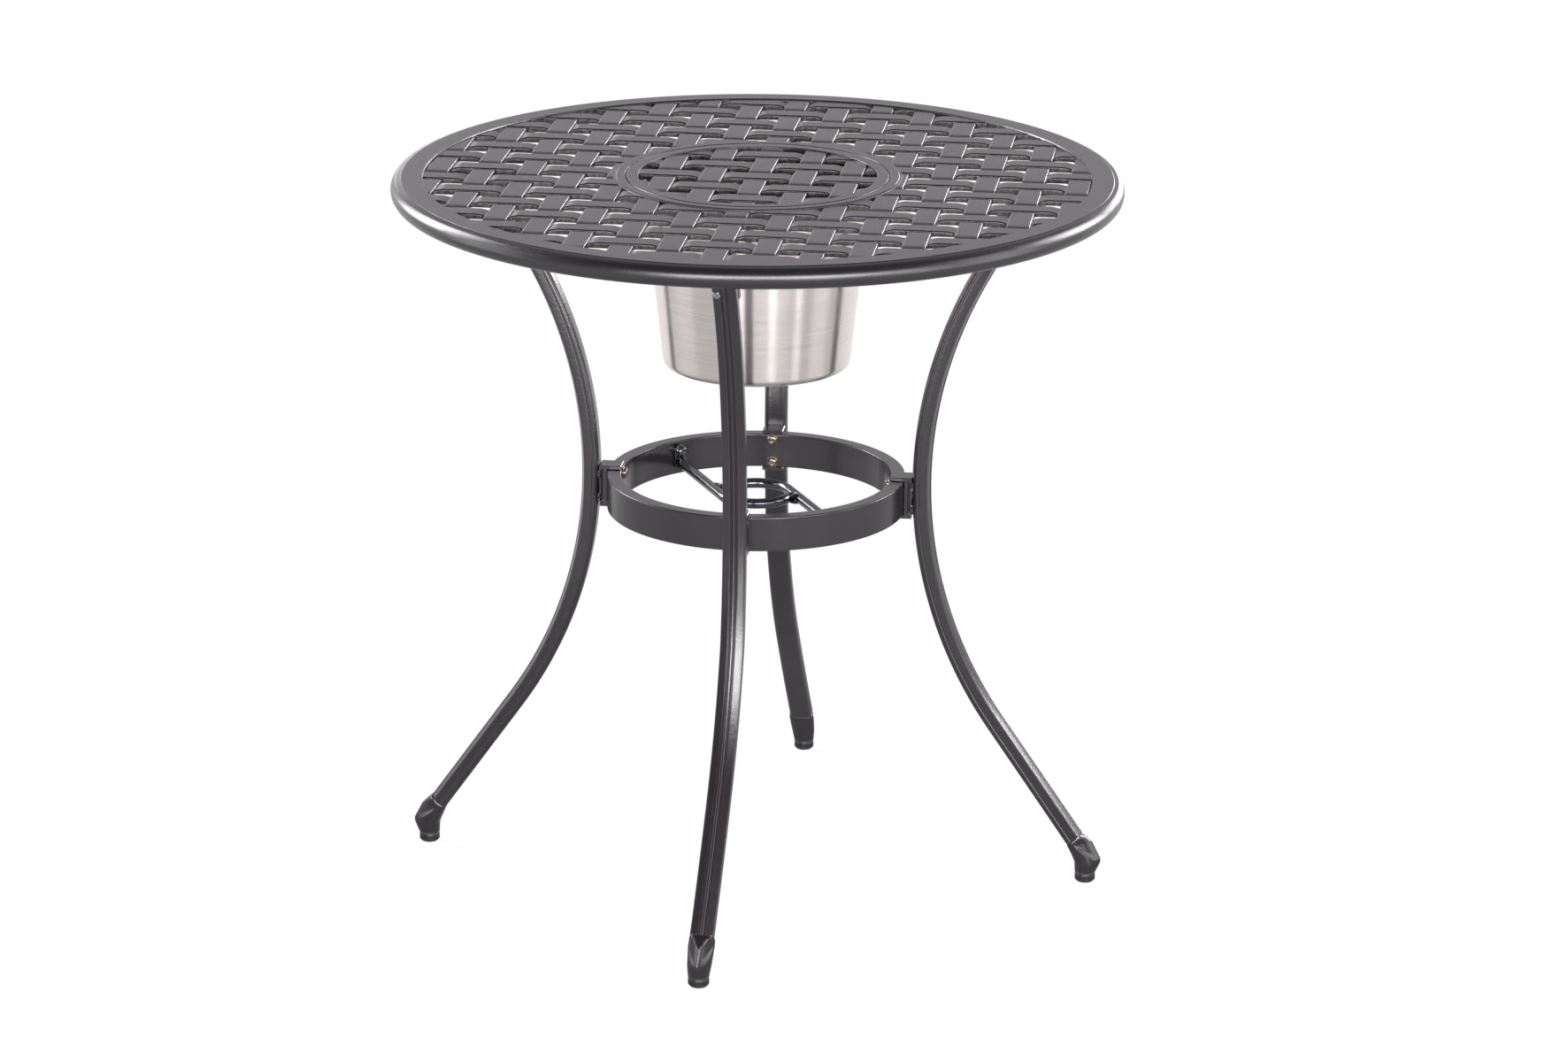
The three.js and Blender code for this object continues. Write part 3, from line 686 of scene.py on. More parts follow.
def along_x(radius, height):
    """Puts what is built along +Z on the radius, pointing outwards."""
    return Matrix.Translation((radius, 0, height)) @ Matrix.Rotation(math.pi / 2, 4, "Y")


# Weave

# Places on half a strand, from its end to its middle: round the corner of the hole, as shares of
# the corner's radius, down the dive, as shares of the slope, and along the level part
CORNER_SHARES = (-0.4, 0, 0.06, 0.2, 0.45, 0.8, 1.0)
SLOPE_SHARES = (0.45, 0.7, 1.0)
LEVEL_SHARES = (0.8, 0.6, 0.4, 0.2, 0.0)
# how much of the dive is a straight ramp; the rest is curved
STRAIGHT_SHARE = 0.4
# how far strands run on under the bands at the edges, and how much they differ in height
COVER = 9 * MM
UNEVENNESS = 0.06 * MM
# a hole this near the edge of the field is closed
SLIVER = MM


def strand_stations(weave, fine):
    """Places along a strand as (along, dive share, flare); fine adds the level part."""
    reach = weave.pitch - weave.width / 2
    places = [reach - share * weave.corner for share in CORNER_SHARES]
    places += [reach - weave.slope * share for share in SLOPE_SHARES]
    if fine:
        places += [(reach - weave.slope) * share for share in LEVEL_SHARES]
    stations = []
    for along in places:
        gap = max(0.0, reach - along)
        dive = max(0.0, 1 - gap / weave.slope)
        dive = STRAIGHT_SHARE * dive + (1 - STRAIGHT_SHARE) * dive * dive
        inside = max(0.0, weave.corner - gap)
        flare = weave.corner - math.sqrt(max(0.0, weave.corner**2 - inside**2))
        stations.append((along, dive, flare))
    mirrored = [(-along, dive, flare) for along, dive, flare in stations]
    return mirrored + [s for s in reversed(stations) if s[0] > 0]


def strand_section(weave, half, bottom, height):
    """Outline across a strand as (across, height), with its edges rounded."""
    edge, low_edge = weave.edge, weave.low_edge
    bevel_share, steps = 0.3, 4
    shape = [
        (half - low_edge, bottom),
        (half - low_edge * bevel_share, bottom + low_edge * bevel_share),
        (half, bottom + low_edge),
    ]
    for step in range(steps + 1):
        angle = math.pi / 2 * step / steps
        shape.append((half - edge * (1 - math.cos(angle)), height - edge * (1 - math.sin(angle))))
    return shape + [(-across, z) for across, z in reversed(shape)]


def weave_field(mesh, weave, top, inner, outer, seed):
    """Fills the ring between two radii with strands, over one and under one."""
    bottom = top.height - top.plate
    crown = top.height - weave.drop
    rolls = random.Random(seed)
    turned = Matrix.Rotation(weave.turned, 3, "Z")
    count = math.ceil(outer / weave.pitch)
    limits = (inner - COVER if inner else 0.0, outer + COVER)

    def placed(x, y, z):
        spot = turned @ Vector((x, y, z))
        radius = math.hypot(spot.x, spot.y)
        kept = min(max(radius, limits[0]), limits[1])
        if radius > 0 and kept != radius:
            spot.x *= kept / radius
            spot.y *= kept / radius
        return spot

    for i in range(-count, count + 1):
        for j in range(-count, count + 1):
            x, y = i * weave.pitch, j * weave.pitch
            lift = rolls.uniform(-UNEVENNESS, UNEVENNESS)
            distance = math.hypot(x, y)
            hole = math.hypot(x + weave.pitch / 2, y + weave.pitch / 2)
            if distance - weave.pitch < limits[1] and distance + weave.pitch > limits[0]:
                fine = distance + weave.pitch > outer or distance - weave.pitch < inner
                rings = []
                for along, dive, flare in strand_stations(weave, fine):
                    half = weave.width / 2 + flare
                    height = crown - dive * weave.rise + lift
                    ring = []
                    for across, z in strand_section(weave, half, bottom, height):
                        if (i + j) % 2 == 0:
                            ring.append(placed(x + along, y + across, z))
                        else:
                            ring.append(placed(x - across, y + along, z))
                    rings.append(ring)
                skin(mesh, rings)
            closed = not (inner + SLIVER < hole < outer - SLIVER)
            if closed and limits[0] - weave.width < hole < limits[1] + weave.width:
                fill_hole(mesh, weave, placed, x, y, bottom, crown - weave.rise)


def fill_hole(mesh, weave, placed, x, y, bottom, height):
    """Closes a hole that the edge of the field would leave as a sliver."""
    overlap, steps = 0.3 * MM, 6
    half = (weave.pitch - weave.width) / 2 + overlap
    middle = Vector((x + weave.pitch / 2, y + weave.pitch / 2))
    offsets = [half * (2 * step / steps - 1) for step in range(steps + 1)]
    rings = []
    for along in offsets:
        low = [placed(middle.x + along, middle.y + across, bottom) for across in offsets]
        high = [placed(middle.x + along, middle.y - across, height) for across in offsets]
        rings.append(low + high)
    skin(mesh, rings)


class PATIO_OT_top(bpy.types.Operator):
    """Builds the cast top: rim, woven field, collar and lugs"""

    bl_idname = "patio.top"
    bl_label = "Top"

    def execute(self, context):
        settings = context.scene.patio_table
        top, weave = settings.top, settings.weave
        self.rim(top)
        field = bmesh.new()
        weave_field(field, weave, top, top.collar, top.field, seed=3)
        add_piece("top_weave", field, "cast_top", ["tabletop"], sharp=38)
        self.collar(top)
        self.lugs(top, settings.leg)
        return {"FINISHED"}

    @staticmethod
    def rim(top):
        """Flat border, arris and bullnose."""
        arris_back, arris_reach, arris_drop = 1.9 * MM, 1.2 * MM, 0.7 * MM
        step_back, step_drop = 0.6 * MM, 1.4 * MM
        crisp, clear, soft, casting, deep = 0.3 * MM, 0.5 * MM, 0.8 * MM, 1.2 * MM, 3 * MM
        flat, under = top.height, top.height - top.plate
        wall = top.radius - top.rim_wall
        outline = rounded([
            (top.border - arris_reach, flat - arris_drop, 0),
            (top.border - arris_back, flat, crisp),
            (top.field + step_back, flat, clear),
            (top.field, flat - step_drop, SMALL_EDGE),
            (top.field, under, casting),
            (wall, under, deep),
            (wall, flat - top.rim_depth, soft),
        ])
        outline.reverse()
        half = top.rim_depth / 2
        steps, sides = 22, 256
        start, end = math.radians(66), math.radians(-80)
        nose = []
        for step in range(steps + 1):
            angle = start + (end - start) * step / steps
            out = top.radius - top.nose + top.nose * math.cos(angle)
            nose.append((out, flat - half + half * math.sin(angle)))
        mesh = bmesh.new()
        lathe(mesh, outline + nose, sides)
        add_piece("top_rim", mesh, "cast_top", ["tabletop"], sharp=50)

    @staticmethod
    def collar(top):
        """Collar with its ledge."""
        low = top.height - top.ledge
        under = low - top.ledge_thickness
        step_width, step_slope, step_drop = 3.2 * MM, 0.7 * MM, 0.5 * MM
        shoulder = top.collar - step_width
        crisp, clear, soft, mouth, casting = 0.2 * MM, 0.3 * MM, 0.8 * MM, 1.1 * MM, 1.5 * MM
        outline = rounded([
            (top.collar, top.height - step_drop, SMALL_EDGE),
            (shoulder + step_slope, top.height - step_drop, crisp),
            (shoulder, top.height, clear),
            (top.bore, top.height, mouth),
            (top.bore, low, SMALL_EDGE),
            (top.ledge_bore, low, soft),
            (top.ledge_bore, under, soft),
            (top.collar, under, casting),
        ])
        mesh = bmesh.new()
        lathe(mesh, outline, ROUND_SIDES)
        add_piece("top_collar", mesh, "cast_top", ["tabletop"], sharp=40)

    @staticmethod
    def lugs(top, leg):
        """Lug and bearer under the top at each leg."""
        mesh = bmesh.new()
        under = top.height - top.plate
        near = -leg.inner_depth - SEAT
        far = near - leg.lug_thickness
        half = 11 * MM
        crisp, soft = 0.6 * MM, 1.5 * MM
        section = rounded([
            (far, -half, soft), (near, -half, crisp), (near, half, crisp), (far, half, soft),
        ], steps=3)
        side_view = rounded([
            (leg.bearer_start, under - leg.bearer, 2 * soft),
            (leg.bearer_end, under - leg.bearer, 0),
            (leg.bearer_end, under + SEAT, 0),
            (leg.bearer_start - leg.bearer, under + SEAT, 0),
        ], steps=3)
        steps = 12
        bottom = under - leg.lug_drop
        for side in CORNERS:
            part = bmesh.new()
            rings = []
            for step in range(steps + 1):
                z = bottom + (leg.lug_drop - leg.bearer) * step / steps
                rings.append([leg_spot(leg, z, out, across, True) for out, across in section])
            skin(part, rings)
            skin(part, [[(x, y, z) for x, z in side_view] for y in (-half, half)])
            join(mesh, part, corner_matrix(side, leg.frame_turn))
        add_piece("top_lugs", mesh, "cast_top", ["tabletop"])


class PATIO_OT_lid(bpy.types.Operator):
    """Builds the woven lid"""

    bl_idname = "patio.lid"
    bl_label = "Lid"

    def execute(self, context):
        settings = context.scene.patio_table
        top, weave = settings.top, settings.weave
        inner = top.lid - top.lid_border
        low = top.height - top.lid_thickness
        outer_edge, inner_edge, low_edge = 1.2 * MM, 0.7 * MM, 0.8 * MM
        outline = rounded([
            (top.lid, top.height, outer_edge),
            (inner, top.height, inner_edge),
            (inner, low, low_edge),
            (top.lid, low, low_edge),
        ])
        border = bmesh.new()
        lathe(border, outline, ROUND_SIDES)
        add_piece("lid_border", border, "cast_top", ["lid"], body="lid")
        field = bmesh.new()
        weave_field(field, weave, top, 0.0, inner, seed=5)
        add_piece("lid_weave", field, "cast_top", ["lid"], body="lid", sharp=38)
        return {"FINISHED"}


class PATIO_OT_bucket(bpy.types.Operator):
    """Builds the drawn steel bucket"""

    bl_idname = "patio.bucket"
    bl_label = "Bucket"

    def execute(self, context):
        settings = context.scene.patio_table
        sizes, top = settings.bucket, settings.top
        sheet = sizes.sheet
        ledge = top.height - top.ledge + SEAT
        base = ledge - sizes.depth
        lip_top = ledge + sizes.lip
        dent, dent_share, foot_share = 2.2 * MM, 0.72, 0.78
        raised = base + dent
        raised_radius, foot_radius = sizes.base * dent_share, sizes.base * foot_share
        lip_wall, lip_edge, rim_bend, drawn = 1.6 * MM, 0.7 * MM, 1.2 * MM, 2.2 * MM
        lip_inside = sizes.flange - lip_wall
        soft, foot_bend = 2 * MM, 3 * MM
        outline = rounded([
            (AXIS, raised, 0),
            (raised_radius, raised, soft),
            (foot_radius, base, foot_bend),
            (sizes.base, base, sizes.corner),
            (sizes.mouth, ledge, drawn),
            (sizes.flange, ledge, rim_bend),
            (sizes.flange, lip_top, lip_edge),
            (lip_inside, lip_top, lip_edge),
            (lip_inside, ledge + sheet, SMALL_EDGE),
            (sizes.mouth - sheet, ledge + sheet, rim_bend + drawn),
            (sizes.base - sheet, base + sheet, sizes.corner - sheet),
            (foot_radius - sheet / 2, base + sheet, soft),
            (raised_radius - sheet / 2, raised + sheet, soft),
            (AXIS, raised + sheet, 0),
        ], steps=8)
        mesh = bmesh.new()
        lathe(mesh, outline, ROUND_SIDES)
        add_piece("ice_bucket", mesh, "bucket_steel", ["bucket"], body="bucket", sharp=50)
        return {"FINISHED"}


# Legs and feet

# how often a point's height is corrected until it lies level with its neighbours
LEVEL_ROUNDS = 8


def leg_line(leg, z):
    """Radius of the leg's middle and its lean at a height; it leans out going up above the waist."""
    rise = z - leg.waist_height
    if rise > 0:
        lean = math.asin(rise / leg.upper_bend)
        return leg.waist + leg.upper_bend * (1 - math.cos(lean)), lean
    lean = math.asin(min(-rise / leg.lower_bend, math.sin(leg.splay)))
    bent = leg.lower_bend * math.sin(lean)
    radius = leg.waist + leg.lower_bend * (1 - math.cos(lean))
    return radius + (-rise - bent) * math.tan(leg.splay), -lean


def leg_spot(leg, z, out, across, level=False):
    """A point of a leg's section; level slides it along the leg to that height itself."""
    height = z
    for _ in range(LEVEL_ROUNDS if level else 0):
        height = z + out * math.sin(leg_line(leg, height)[1])
    radius, lean = leg_line(leg, height)
    return Vector((radius + out * math.cos(lean), across, height - out * math.sin(lean)))


# Half of a leg's section in millimetres, out from its line and across: the raised bead, the groove
# beside it, the sloping shoulder, the side, the lower groove and the rounded inner face
LEG_HALF_SECTION = [
    (9.0, 0.0), (8.85, 0.8), (8.3, 1.5), (7.3, 1.95),
    (6.5, 2.2), (6.25, 2.7), (6.5, 3.15), (7.3, 3.35), (7.75, 3.8),
    (7.7, 4.5), (7.1, 6.4), (6.4, 8.7), (5.8, 10.6), (5.3, 11.2),
    (4.6, 11.4), (1.5, 11.45), (-1.7, 11.4),
    (-2.1, 10.95), (-2.6, 10.8), (-3.2, 10.8), (-3.6, 11.1),
    (-4.3, 11.3), (-5.8, 11.1), (-7.6, 10.0), (-8.7, 8.5), (-9.1, 6.9), (-9.1, 2.5),
]


class PATIO_OT_legs(bpy.types.Operator):
    """Builds the four saber legs"""

    bl_idname = "patio.legs"
    bl_label = "Legs"

    def execute(self, context):
        settings = context.scene.patio_table
        leg = settings.leg
        half = scaled(LEG_HALF_SECTION)
        outline = half + [(out, -across) for out, across in reversed(half) if across > 0]
        steps = 72
        for side in CORNERS:
            rings = []
            for step in range(steps + 1):
                z = leg.end + (leg.top - leg.end) * step / steps
                last = step == steps
                rings.append([leg_spot(leg, z, out, across, last) for out, across in outline])
            mesh = bmesh.new()
            skin(mesh, rings)
            turn_with_frame(mesh, leg, settings.foot)
            name = f"leg_{side}"
            add_piece(f"{name}_casting", mesh, "painted_frame", [name], matrix=corner_matrix(side))
        return {"FINISHED"}


# Rings of a foot from its joint down, as shares of its height: out from its middle and up from
# its base for the outer, side and inner points, the half width, and the fullness of the quarters
FOOT_RING_SHARES = [
    ((-0.03, 1.08), (-0.33, 0.96), (-0.52, 0.83), 0.34, 0.7, 0.45),
    ((0.18, 0.88), (-0.32, 0.92), (-0.495, 0.76), 0.352, 1.5, 0.5),
    ((0.43, 0.4), (-0.315, 0.89), (-0.475, 0.715), 0.352, 1.7, 0.6),
    ((0.425, 0.29), (-0.25, 0.775), (-0.43, 0.61), 0.36, 1.35, 0.75),
    ((0.36, 0.15), (-0.09, 0.34), (-0.305, 0.31), 0.332, 1.0, 1.0),
    ((0.288, 0.0), (0.0, 0.0), (-0.288, 0.0), 0.288, 1.0, 1.0),
]
FOOT_SIDES = 64
GLIDE_SIDES = 40
# how far to each side a point of a foot is averaged, in degrees
FOOT_BLUR = 5


class PATIO_OT_feet(bpy.types.Operator):
    """Builds the cast feet and the levelling glides"""

    bl_idname = "patio.feet"
    bl_label = "Feet"

    def execute(self, context):
        settings = context.scene.patio_table
        leg, foot = settings.leg, settings.foot
        rings = [self.joint(leg)] + [self.ring(leg, foot, row) for row in FOOT_RING_SHARES]
        fine = self.refined(rings, foot.edge)
        for side in CORNERS:
            matrix = corner_matrix(side)
            casting = bmesh.new()
            skin(casting, fine)
            turn_with_frame(casting, leg, foot)
            node = f"foot_{side}"
            finish = {"sharp": 60, "matrix": matrix, "coat": coat_of_feet}
            add_piece(f"{node}_casting", casting, "painted_frame", [node], **finish)
            glide = bmesh.new()
            lathe(glide, self.glide_outline(foot), GLIDE_SIDES)
            place = matrix @ Matrix.Translation((foot.radius, 0, 0))
            node = f"glide_{side}"
            add_piece(f"{node}_moulding", glide, "glide_plastic", [node], body=node, matrix=place)
        return {"FINISHED"}

    @staticmethod
    def joint(leg):
        """Ring that follows the leg's section."""
        lean_cosine, lean_sine = math.cos(leg.splay), math.sin(leg.splay)
        height = leg.end - SEAT * lean_cosine
        radius = leg_line(leg, height)[0]
        outer_depth, squareness = 8.9 * MM, 0.5
        ring = []
        for side in range(FOOT_SIDES):
            angle = 2 * math.pi * side / FOOT_SIDES
            depth = outer_depth if math.cos(angle) > 0 else leg.inner_depth
            out = swollen(math.cos(angle), squareness) * depth
            across = swollen(math.sin(angle), squareness) * leg.half_width
            ring.append(Vector((radius + out * lean_cosine, across, height + out * lean_sine)))
        return ring

    @staticmethod
    def ring(leg, foot, row):
        """One ring through an outer, a side and an inner point, pointed or full between them."""
        outer, side_spot, inner, half, front, back = row
        unit = leg.end - foot.base

        def spot(angle):
            cosine, sine = math.cos(angle), math.sin(angle)
            end, fullness = (outer, front) if cosine > 0 else (inner, back)
            along = abs(cosine) ** fullness
            out = side_spot[0] + (end[0] - side_spot[0]) * along
            up = side_spot[1] + (end[1] - side_spot[1]) * along
            across = swollen(sine, fullness) * half
            return Vector((foot.radius + out * unit, across * unit, foot.base + up * unit))

        blur = math.radians(FOOT_BLUR)
        ring = []
        for side in range(FOOT_SIDES):
            angle = 2 * math.pi * side / FOOT_SIDES
            ring.append((spot(angle - blur) + 2 * spot(angle) + spot(angle + blur)) / 4)
        return ring

    @staticmethod
    def refined(rings, edge):
        """Keeps the faces between rings and rounds the edges at them."""
        fine = [rings[0]]
        for before, here, after in zip(rings, rings[1:], rings[2:]):
            low, high, middle = [], [], []
            for a, b, c in zip(before, here, after):
                start = b + (a - b).normalized() * min(edge, (a - b).length / 2)
                end = b + (c - b).normalized() * min(edge, (c - b).length / 2)
                low.append(start)
                high.append(end)
                middle.append((start + 2 * b + end) / 4)
            fine += [low, middle, high]
        return [*fine, rings[-1]]

    @staticmethod
    def glide_outline(foot):
        """Glide with its neck and stem."""
        top = foot.base - SEAT
        edge = foot.glide_edge
        return rounded([
            (AXIS, 0, 0),
            (foot.glide_base, 0, edge / 2),
            (foot.glide, edge, edge / 2),
            (foot.glide, top - edge, edge / 2),
            (foot.glide_neck, top, edge / 4),
            (foot.stem, top, 0),
            (foot.stem, top + foot.stem_length, edge / 4),
            (AXIS, top + foot.stem_length, 0),
        ])


def swollen(share, fullness):
    """A sine or cosine made fuller or more pointed."""
    return math.copysign(abs(share) ** fullness, share)


# Stretcher ring, brackets and crossbar


def weld_bead(mesh, start, end, size, seed):
    """A rippled bead of weld from one point to another."""
    step_length, sides, fewest = 0.6 * MM, 12, 6
    blunt, tip_share = 6, 0.1
    ripple_share, ripple_turn, wander_share, rough_share = 0.16, 1.9, 0.12, 0.06
    rolls = random.Random(seed)
    start, end = Vector(start), Vector(end)
    ahead = (end - start).normalized()
    side = ahead.orthogonal().normalized()
    up = ahead.cross(side)
    steps = max(fewest, round((end - start).length / step_length))
    rings = []
    for step in range(steps + 1):
        share = step / steps
        taper = math.sqrt(max(0.0, 1 - (2 * share - 1) ** blunt)) * (1 - tip_share) + tip_share
        ripple = ripple_share * math.sin(step * ripple_turn)
        swell = size * taper * (1 + ripple + rolls.uniform(-wander_share, wander_share))
        middle = start.lerp(end, share) + side * rolls.uniform(-wander_share, wander_share) * size
        ring = []
        for k in range(sides):
            angle = 2 * math.pi * k / sides
            reach = swell * (1 + rolls.uniform(-rough_share, rough_share))
            ring.append(middle + side * reach * math.cos(angle) + up * reach * math.sin(angle))
        rings.append(ring)
    skin(mesh, rings)


class PATIO_OT_stretcher(bpy.types.Operator):
    """Builds the stretcher ring and its brackets"""

    bl_idname = "patio.stretcher"
    bl_label = "Stretcher"

    def execute(self, context):
        settings = context.scene.patio_table
        sizes = settings.stretcher
        low = sizes.middle - sizes.height / 2
        high = sizes.middle + sizes.height / 2
        inner = sizes.radius - sizes.thickness
        soft, sides = sizes.edge, 192
        outline = rounded([
            (sizes.radius, low, soft), (sizes.radius, high, soft),
            (inner, high, soft), (inner, low, soft),
        ])
        ring = bmesh.new()
        lathe(ring, outline, sides)
        add_piece("stretcher_band", ring, "painted_frame", ["stretcher_ring"])
        for seed, side in enumerate(CORNERS):
            mesh = bmesh.new()
            self.bracket(mesh, sizes, low, high)
            self.welds(mesh, sizes, low, high, seed)
            node = f"bracket_{side}"
            matrix = corner_matrix(side, settings.leg.frame_turn)
            add_piece(f"{node}_casting", mesh, "painted_frame", [node], matrix=matrix)
        return {"FINISHED"}

    @staticmethod
    def bracket(mesh, sizes, low, high):
        """Plan outline with a groove in each side, and flanges over and under the ring."""
        web = sizes.radius + SEAT
        back = web + sizes.bracket_depth
        inner = sizes.radius - sizes.thickness
        half = sizes.bracket / 2
        groove = web + sizes.web
        beyond = groove + sizes.groove
        deep = half - sizes.groove_depth
        crisp = 0.5 * MM
        right_side = [
            (web, half, crisp), (groove, half, crisp), (groove, deep, crisp),
            (beyond, deep, crisp), (beyond, half, crisp), (back, half, crisp),
        ]
        other = [(x, -y, radius) for x, y, radius in reversed(right_side)]
        block = rounded(right_side + other, steps=3)
        top, bottom = high + SEAT, low - SEAT
        skin(mesh, [[(x, y, z) for x, y in block] for z in (bottom - crisp, top + crisp)])
        plate = rounded([
            (inner, half, crisp), (back, half, crisp), (back, -half, crisp), (inner, -half, crisp),
        ], steps=3)
        bevel_share = 0.15
        for floor in (bottom - sizes.flange, top):
            rings = []
            for share, shrink in ((0, 1), (bevel_share, 0), (1 - bevel_share, 0), (1, 1)):
                ring = shrunk(plate, crisp * shrink)
                rings.append([(x, y, floor + sizes.flange * share) for x, y in ring])
            skin(mesh, rings)

    @staticmethod
    def welds(mesh, sizes, low, high, seed):
        """Beads where a bracket meets its leg."""
        back = sizes.radius + SEAT + sizes.bracket_depth
        half = sizes.bracket / 2
        size, lower_length, upper_length = 1.7 * MM, 11 * MM, 9 * MM
        ends = ((low, low + lower_length), (high, high - upper_length))
        sides = (-half, half)
        for number, across in enumerate(sides):
            for level, (start, end) in enumerate(ends):
                bead = (seed * len(ends) + level) * len(sides) + number
                weld_bead(mesh, (back, across, start), (back, across, end), size, bead)


def shrunk(outline, amount):
    """An outline moved inwards by an amount along its corner normals."""
    if amount == 0:
        return outline
    count = len(outline)
    area = sum(
        outline[k][0] * outline[(k + 1) % count][1] - outline[(k + 1) % count][0] * outline[k][1]
        for k in range(count)
    )
    sign = 1 if area > 0 else -1
    moved = []
    for index in range(count):
        before, here, after = (Vector(outline[(index + k) % count]) for k in (-1, 0, 1))
        edge = (after - before).normalized()
        moved.append((here.x - sign * edge.y * amount, here.y + sign * edge.x * amount))
    return moved


def tab_seat(sizes):
    """Radius of the ring's inner face where the flat end of a rod is sunk into it a little."""
    sunk = 0.8 * MM
    return sizes.radius - sizes.thickness - sunk


class PATIO_OT_crossbar(bpy.types.Operator):
    """Builds the two bent rods that close round the umbrella pole"""

    bl_idname = "patio.crossbar"
    bl_label = "Crossbar"

    def execute(self, context):
        sizes = context.scene.patio_table.stretcher
        seat = tab_seat(sizes)
        start = seat - sizes.tab_thickness / 2
        radius = sizes.pole_ring
        turn_to = math.acos(radius / start)
        straight = math.sqrt(start**2 - radius**2)
        height = sizes.middle - sizes.rod_drop
        bend = math.pi - sizes.rod_gap
        steps, sides = 72, 24
        flat_length, thinned_share, spread_share = 14 * MM, 0.62, 0.4
        for seed, (side, angle) in enumerate(ROD_TURNS.items()):
            rings = []
            for step in range(steps + 1):
                along = (straight + bend * radius) * step / steps
                at = turn_to + max(0.0, along - straight) / radius
                way = at + math.pi / 2
                back = max(0.0, straight - along)
                spot = Vector((
                    radius * math.cos(at) - back * math.cos(way),
                    radius * math.sin(at) - back * math.sin(way),
                    height,
                ))
                flat = max(0.0, 1 - along / flat_length)
                flat = flat * flat * (3 - 2 * flat)
                across = Vector((-math.sin(way), math.cos(way), 0))
                wide = sizes.rod * (1 - thinned_share * flat)
                tall = sizes.rod * (1 + spread_share * flat)
                ring = []
                for k in range(sides):
                    phase = 2 * math.pi * k / sides
                    rise = Vector((0, 0, tall * math.sin(phase)))
                    ring.append(spot + across * wide * math.cos(phase) + rise)
                rings.append(ring)
            mesh = bmesh.new()
            skin(mesh, rings)
            self.tab(mesh, seat, height, sizes)
            self.welds(mesh, turn_to + bend, height, sizes, seed)
            matrix = Matrix.Rotation(math.radians(angle), 4, "Z")
            node = f"crossbar_rod_{side}"
            coat = coat_of_crossbar
            add_piece(f"{node}_steel", mesh, "painted_frame", [node], matrix=matrix, coat=coat)
        return {"FINISHED"}

    @staticmethod
    def tab(mesh, seat, height, sizes):
        """Flattened end that is screwed to the ring."""
        half, thick, bevel = sizes.tab, sizes.tab_thickness, 0.9 * MM
        points = []
        steps, middle_share = 14, 0.3
        for base, first in ((sizes.tab_rise, 0.0), (0.0, math.pi)):
            for step in range(steps + 1):
                angle = first + math.pi * step / steps
                points.append((half * math.cos(angle), base + half * math.sin(angle)))
        rings = []
        middle = thick - bevel * middle_share
        for back, shrink in ((0, 0), (thick - bevel, 0), (middle, middle_share), (thick, 1)):
            ring = shrunk(points, bevel * shrink)
            rings.append([(seat - back, y, height + z) for y, z in ring])
        skin(mesh, rings)

    @staticmethod
    def welds(mesh, end, height, sizes, seed):
        """Beads over and under the place where a rod's free end meets the other rod."""
        beside_share, lift_share = 1.2, 0.5
        upper_size, lower_size, lower_seed = 3.4 * MM, 3.2 * MM, 9
        ahead = Vector((math.cos(end), math.sin(end), 0))
        lift = Vector((0, 0, sizes.rod * lift_share))
        middle = ahead * (sizes.pole_ring + sizes.rod * beside_share) + Vector((0, 0, height))
        near, far = middle - ahead * sizes.rod, middle + ahead * sizes.rod
        weld_bead(mesh, near + lift, far + lift, upper_size, seed)
        weld_bead(mesh, near - lift, far - lift, lower_size, seed + lower_seed)


# Fixings

HEAD_SIDES = 48


def hexagon(angle, across):
    """Distance from the middle of a hexagon to its edge."""
    sector = (angle + math.pi / 6) % (math.pi / 3) - math.pi / 6
    return across / 2 / math.cos(sector)


def circle(radius, z):
    """A ring of points about Z."""
    turns = [2 * math.pi * side / HEAD_SIDES for side in range(HEAD_SIDES)]
    return [(radius * math.cos(angle), radius * math.sin(angle), z) for angle in turns]


def hexagon_ring(across, z, reach_share=1.0):
    """A hexagon about Z, its corners turned off to a share of their reach."""
    ring = []
    for side in range(HEAD_SIDES):
        angle = 2 * math.pi * side / HEAD_SIDES
        radius = min(hexagon(angle, across), reach_share * across / math.sqrt(3))
        ring.append((radius * math.cos(angle), radius * math.sin(angle), z))
    return ring


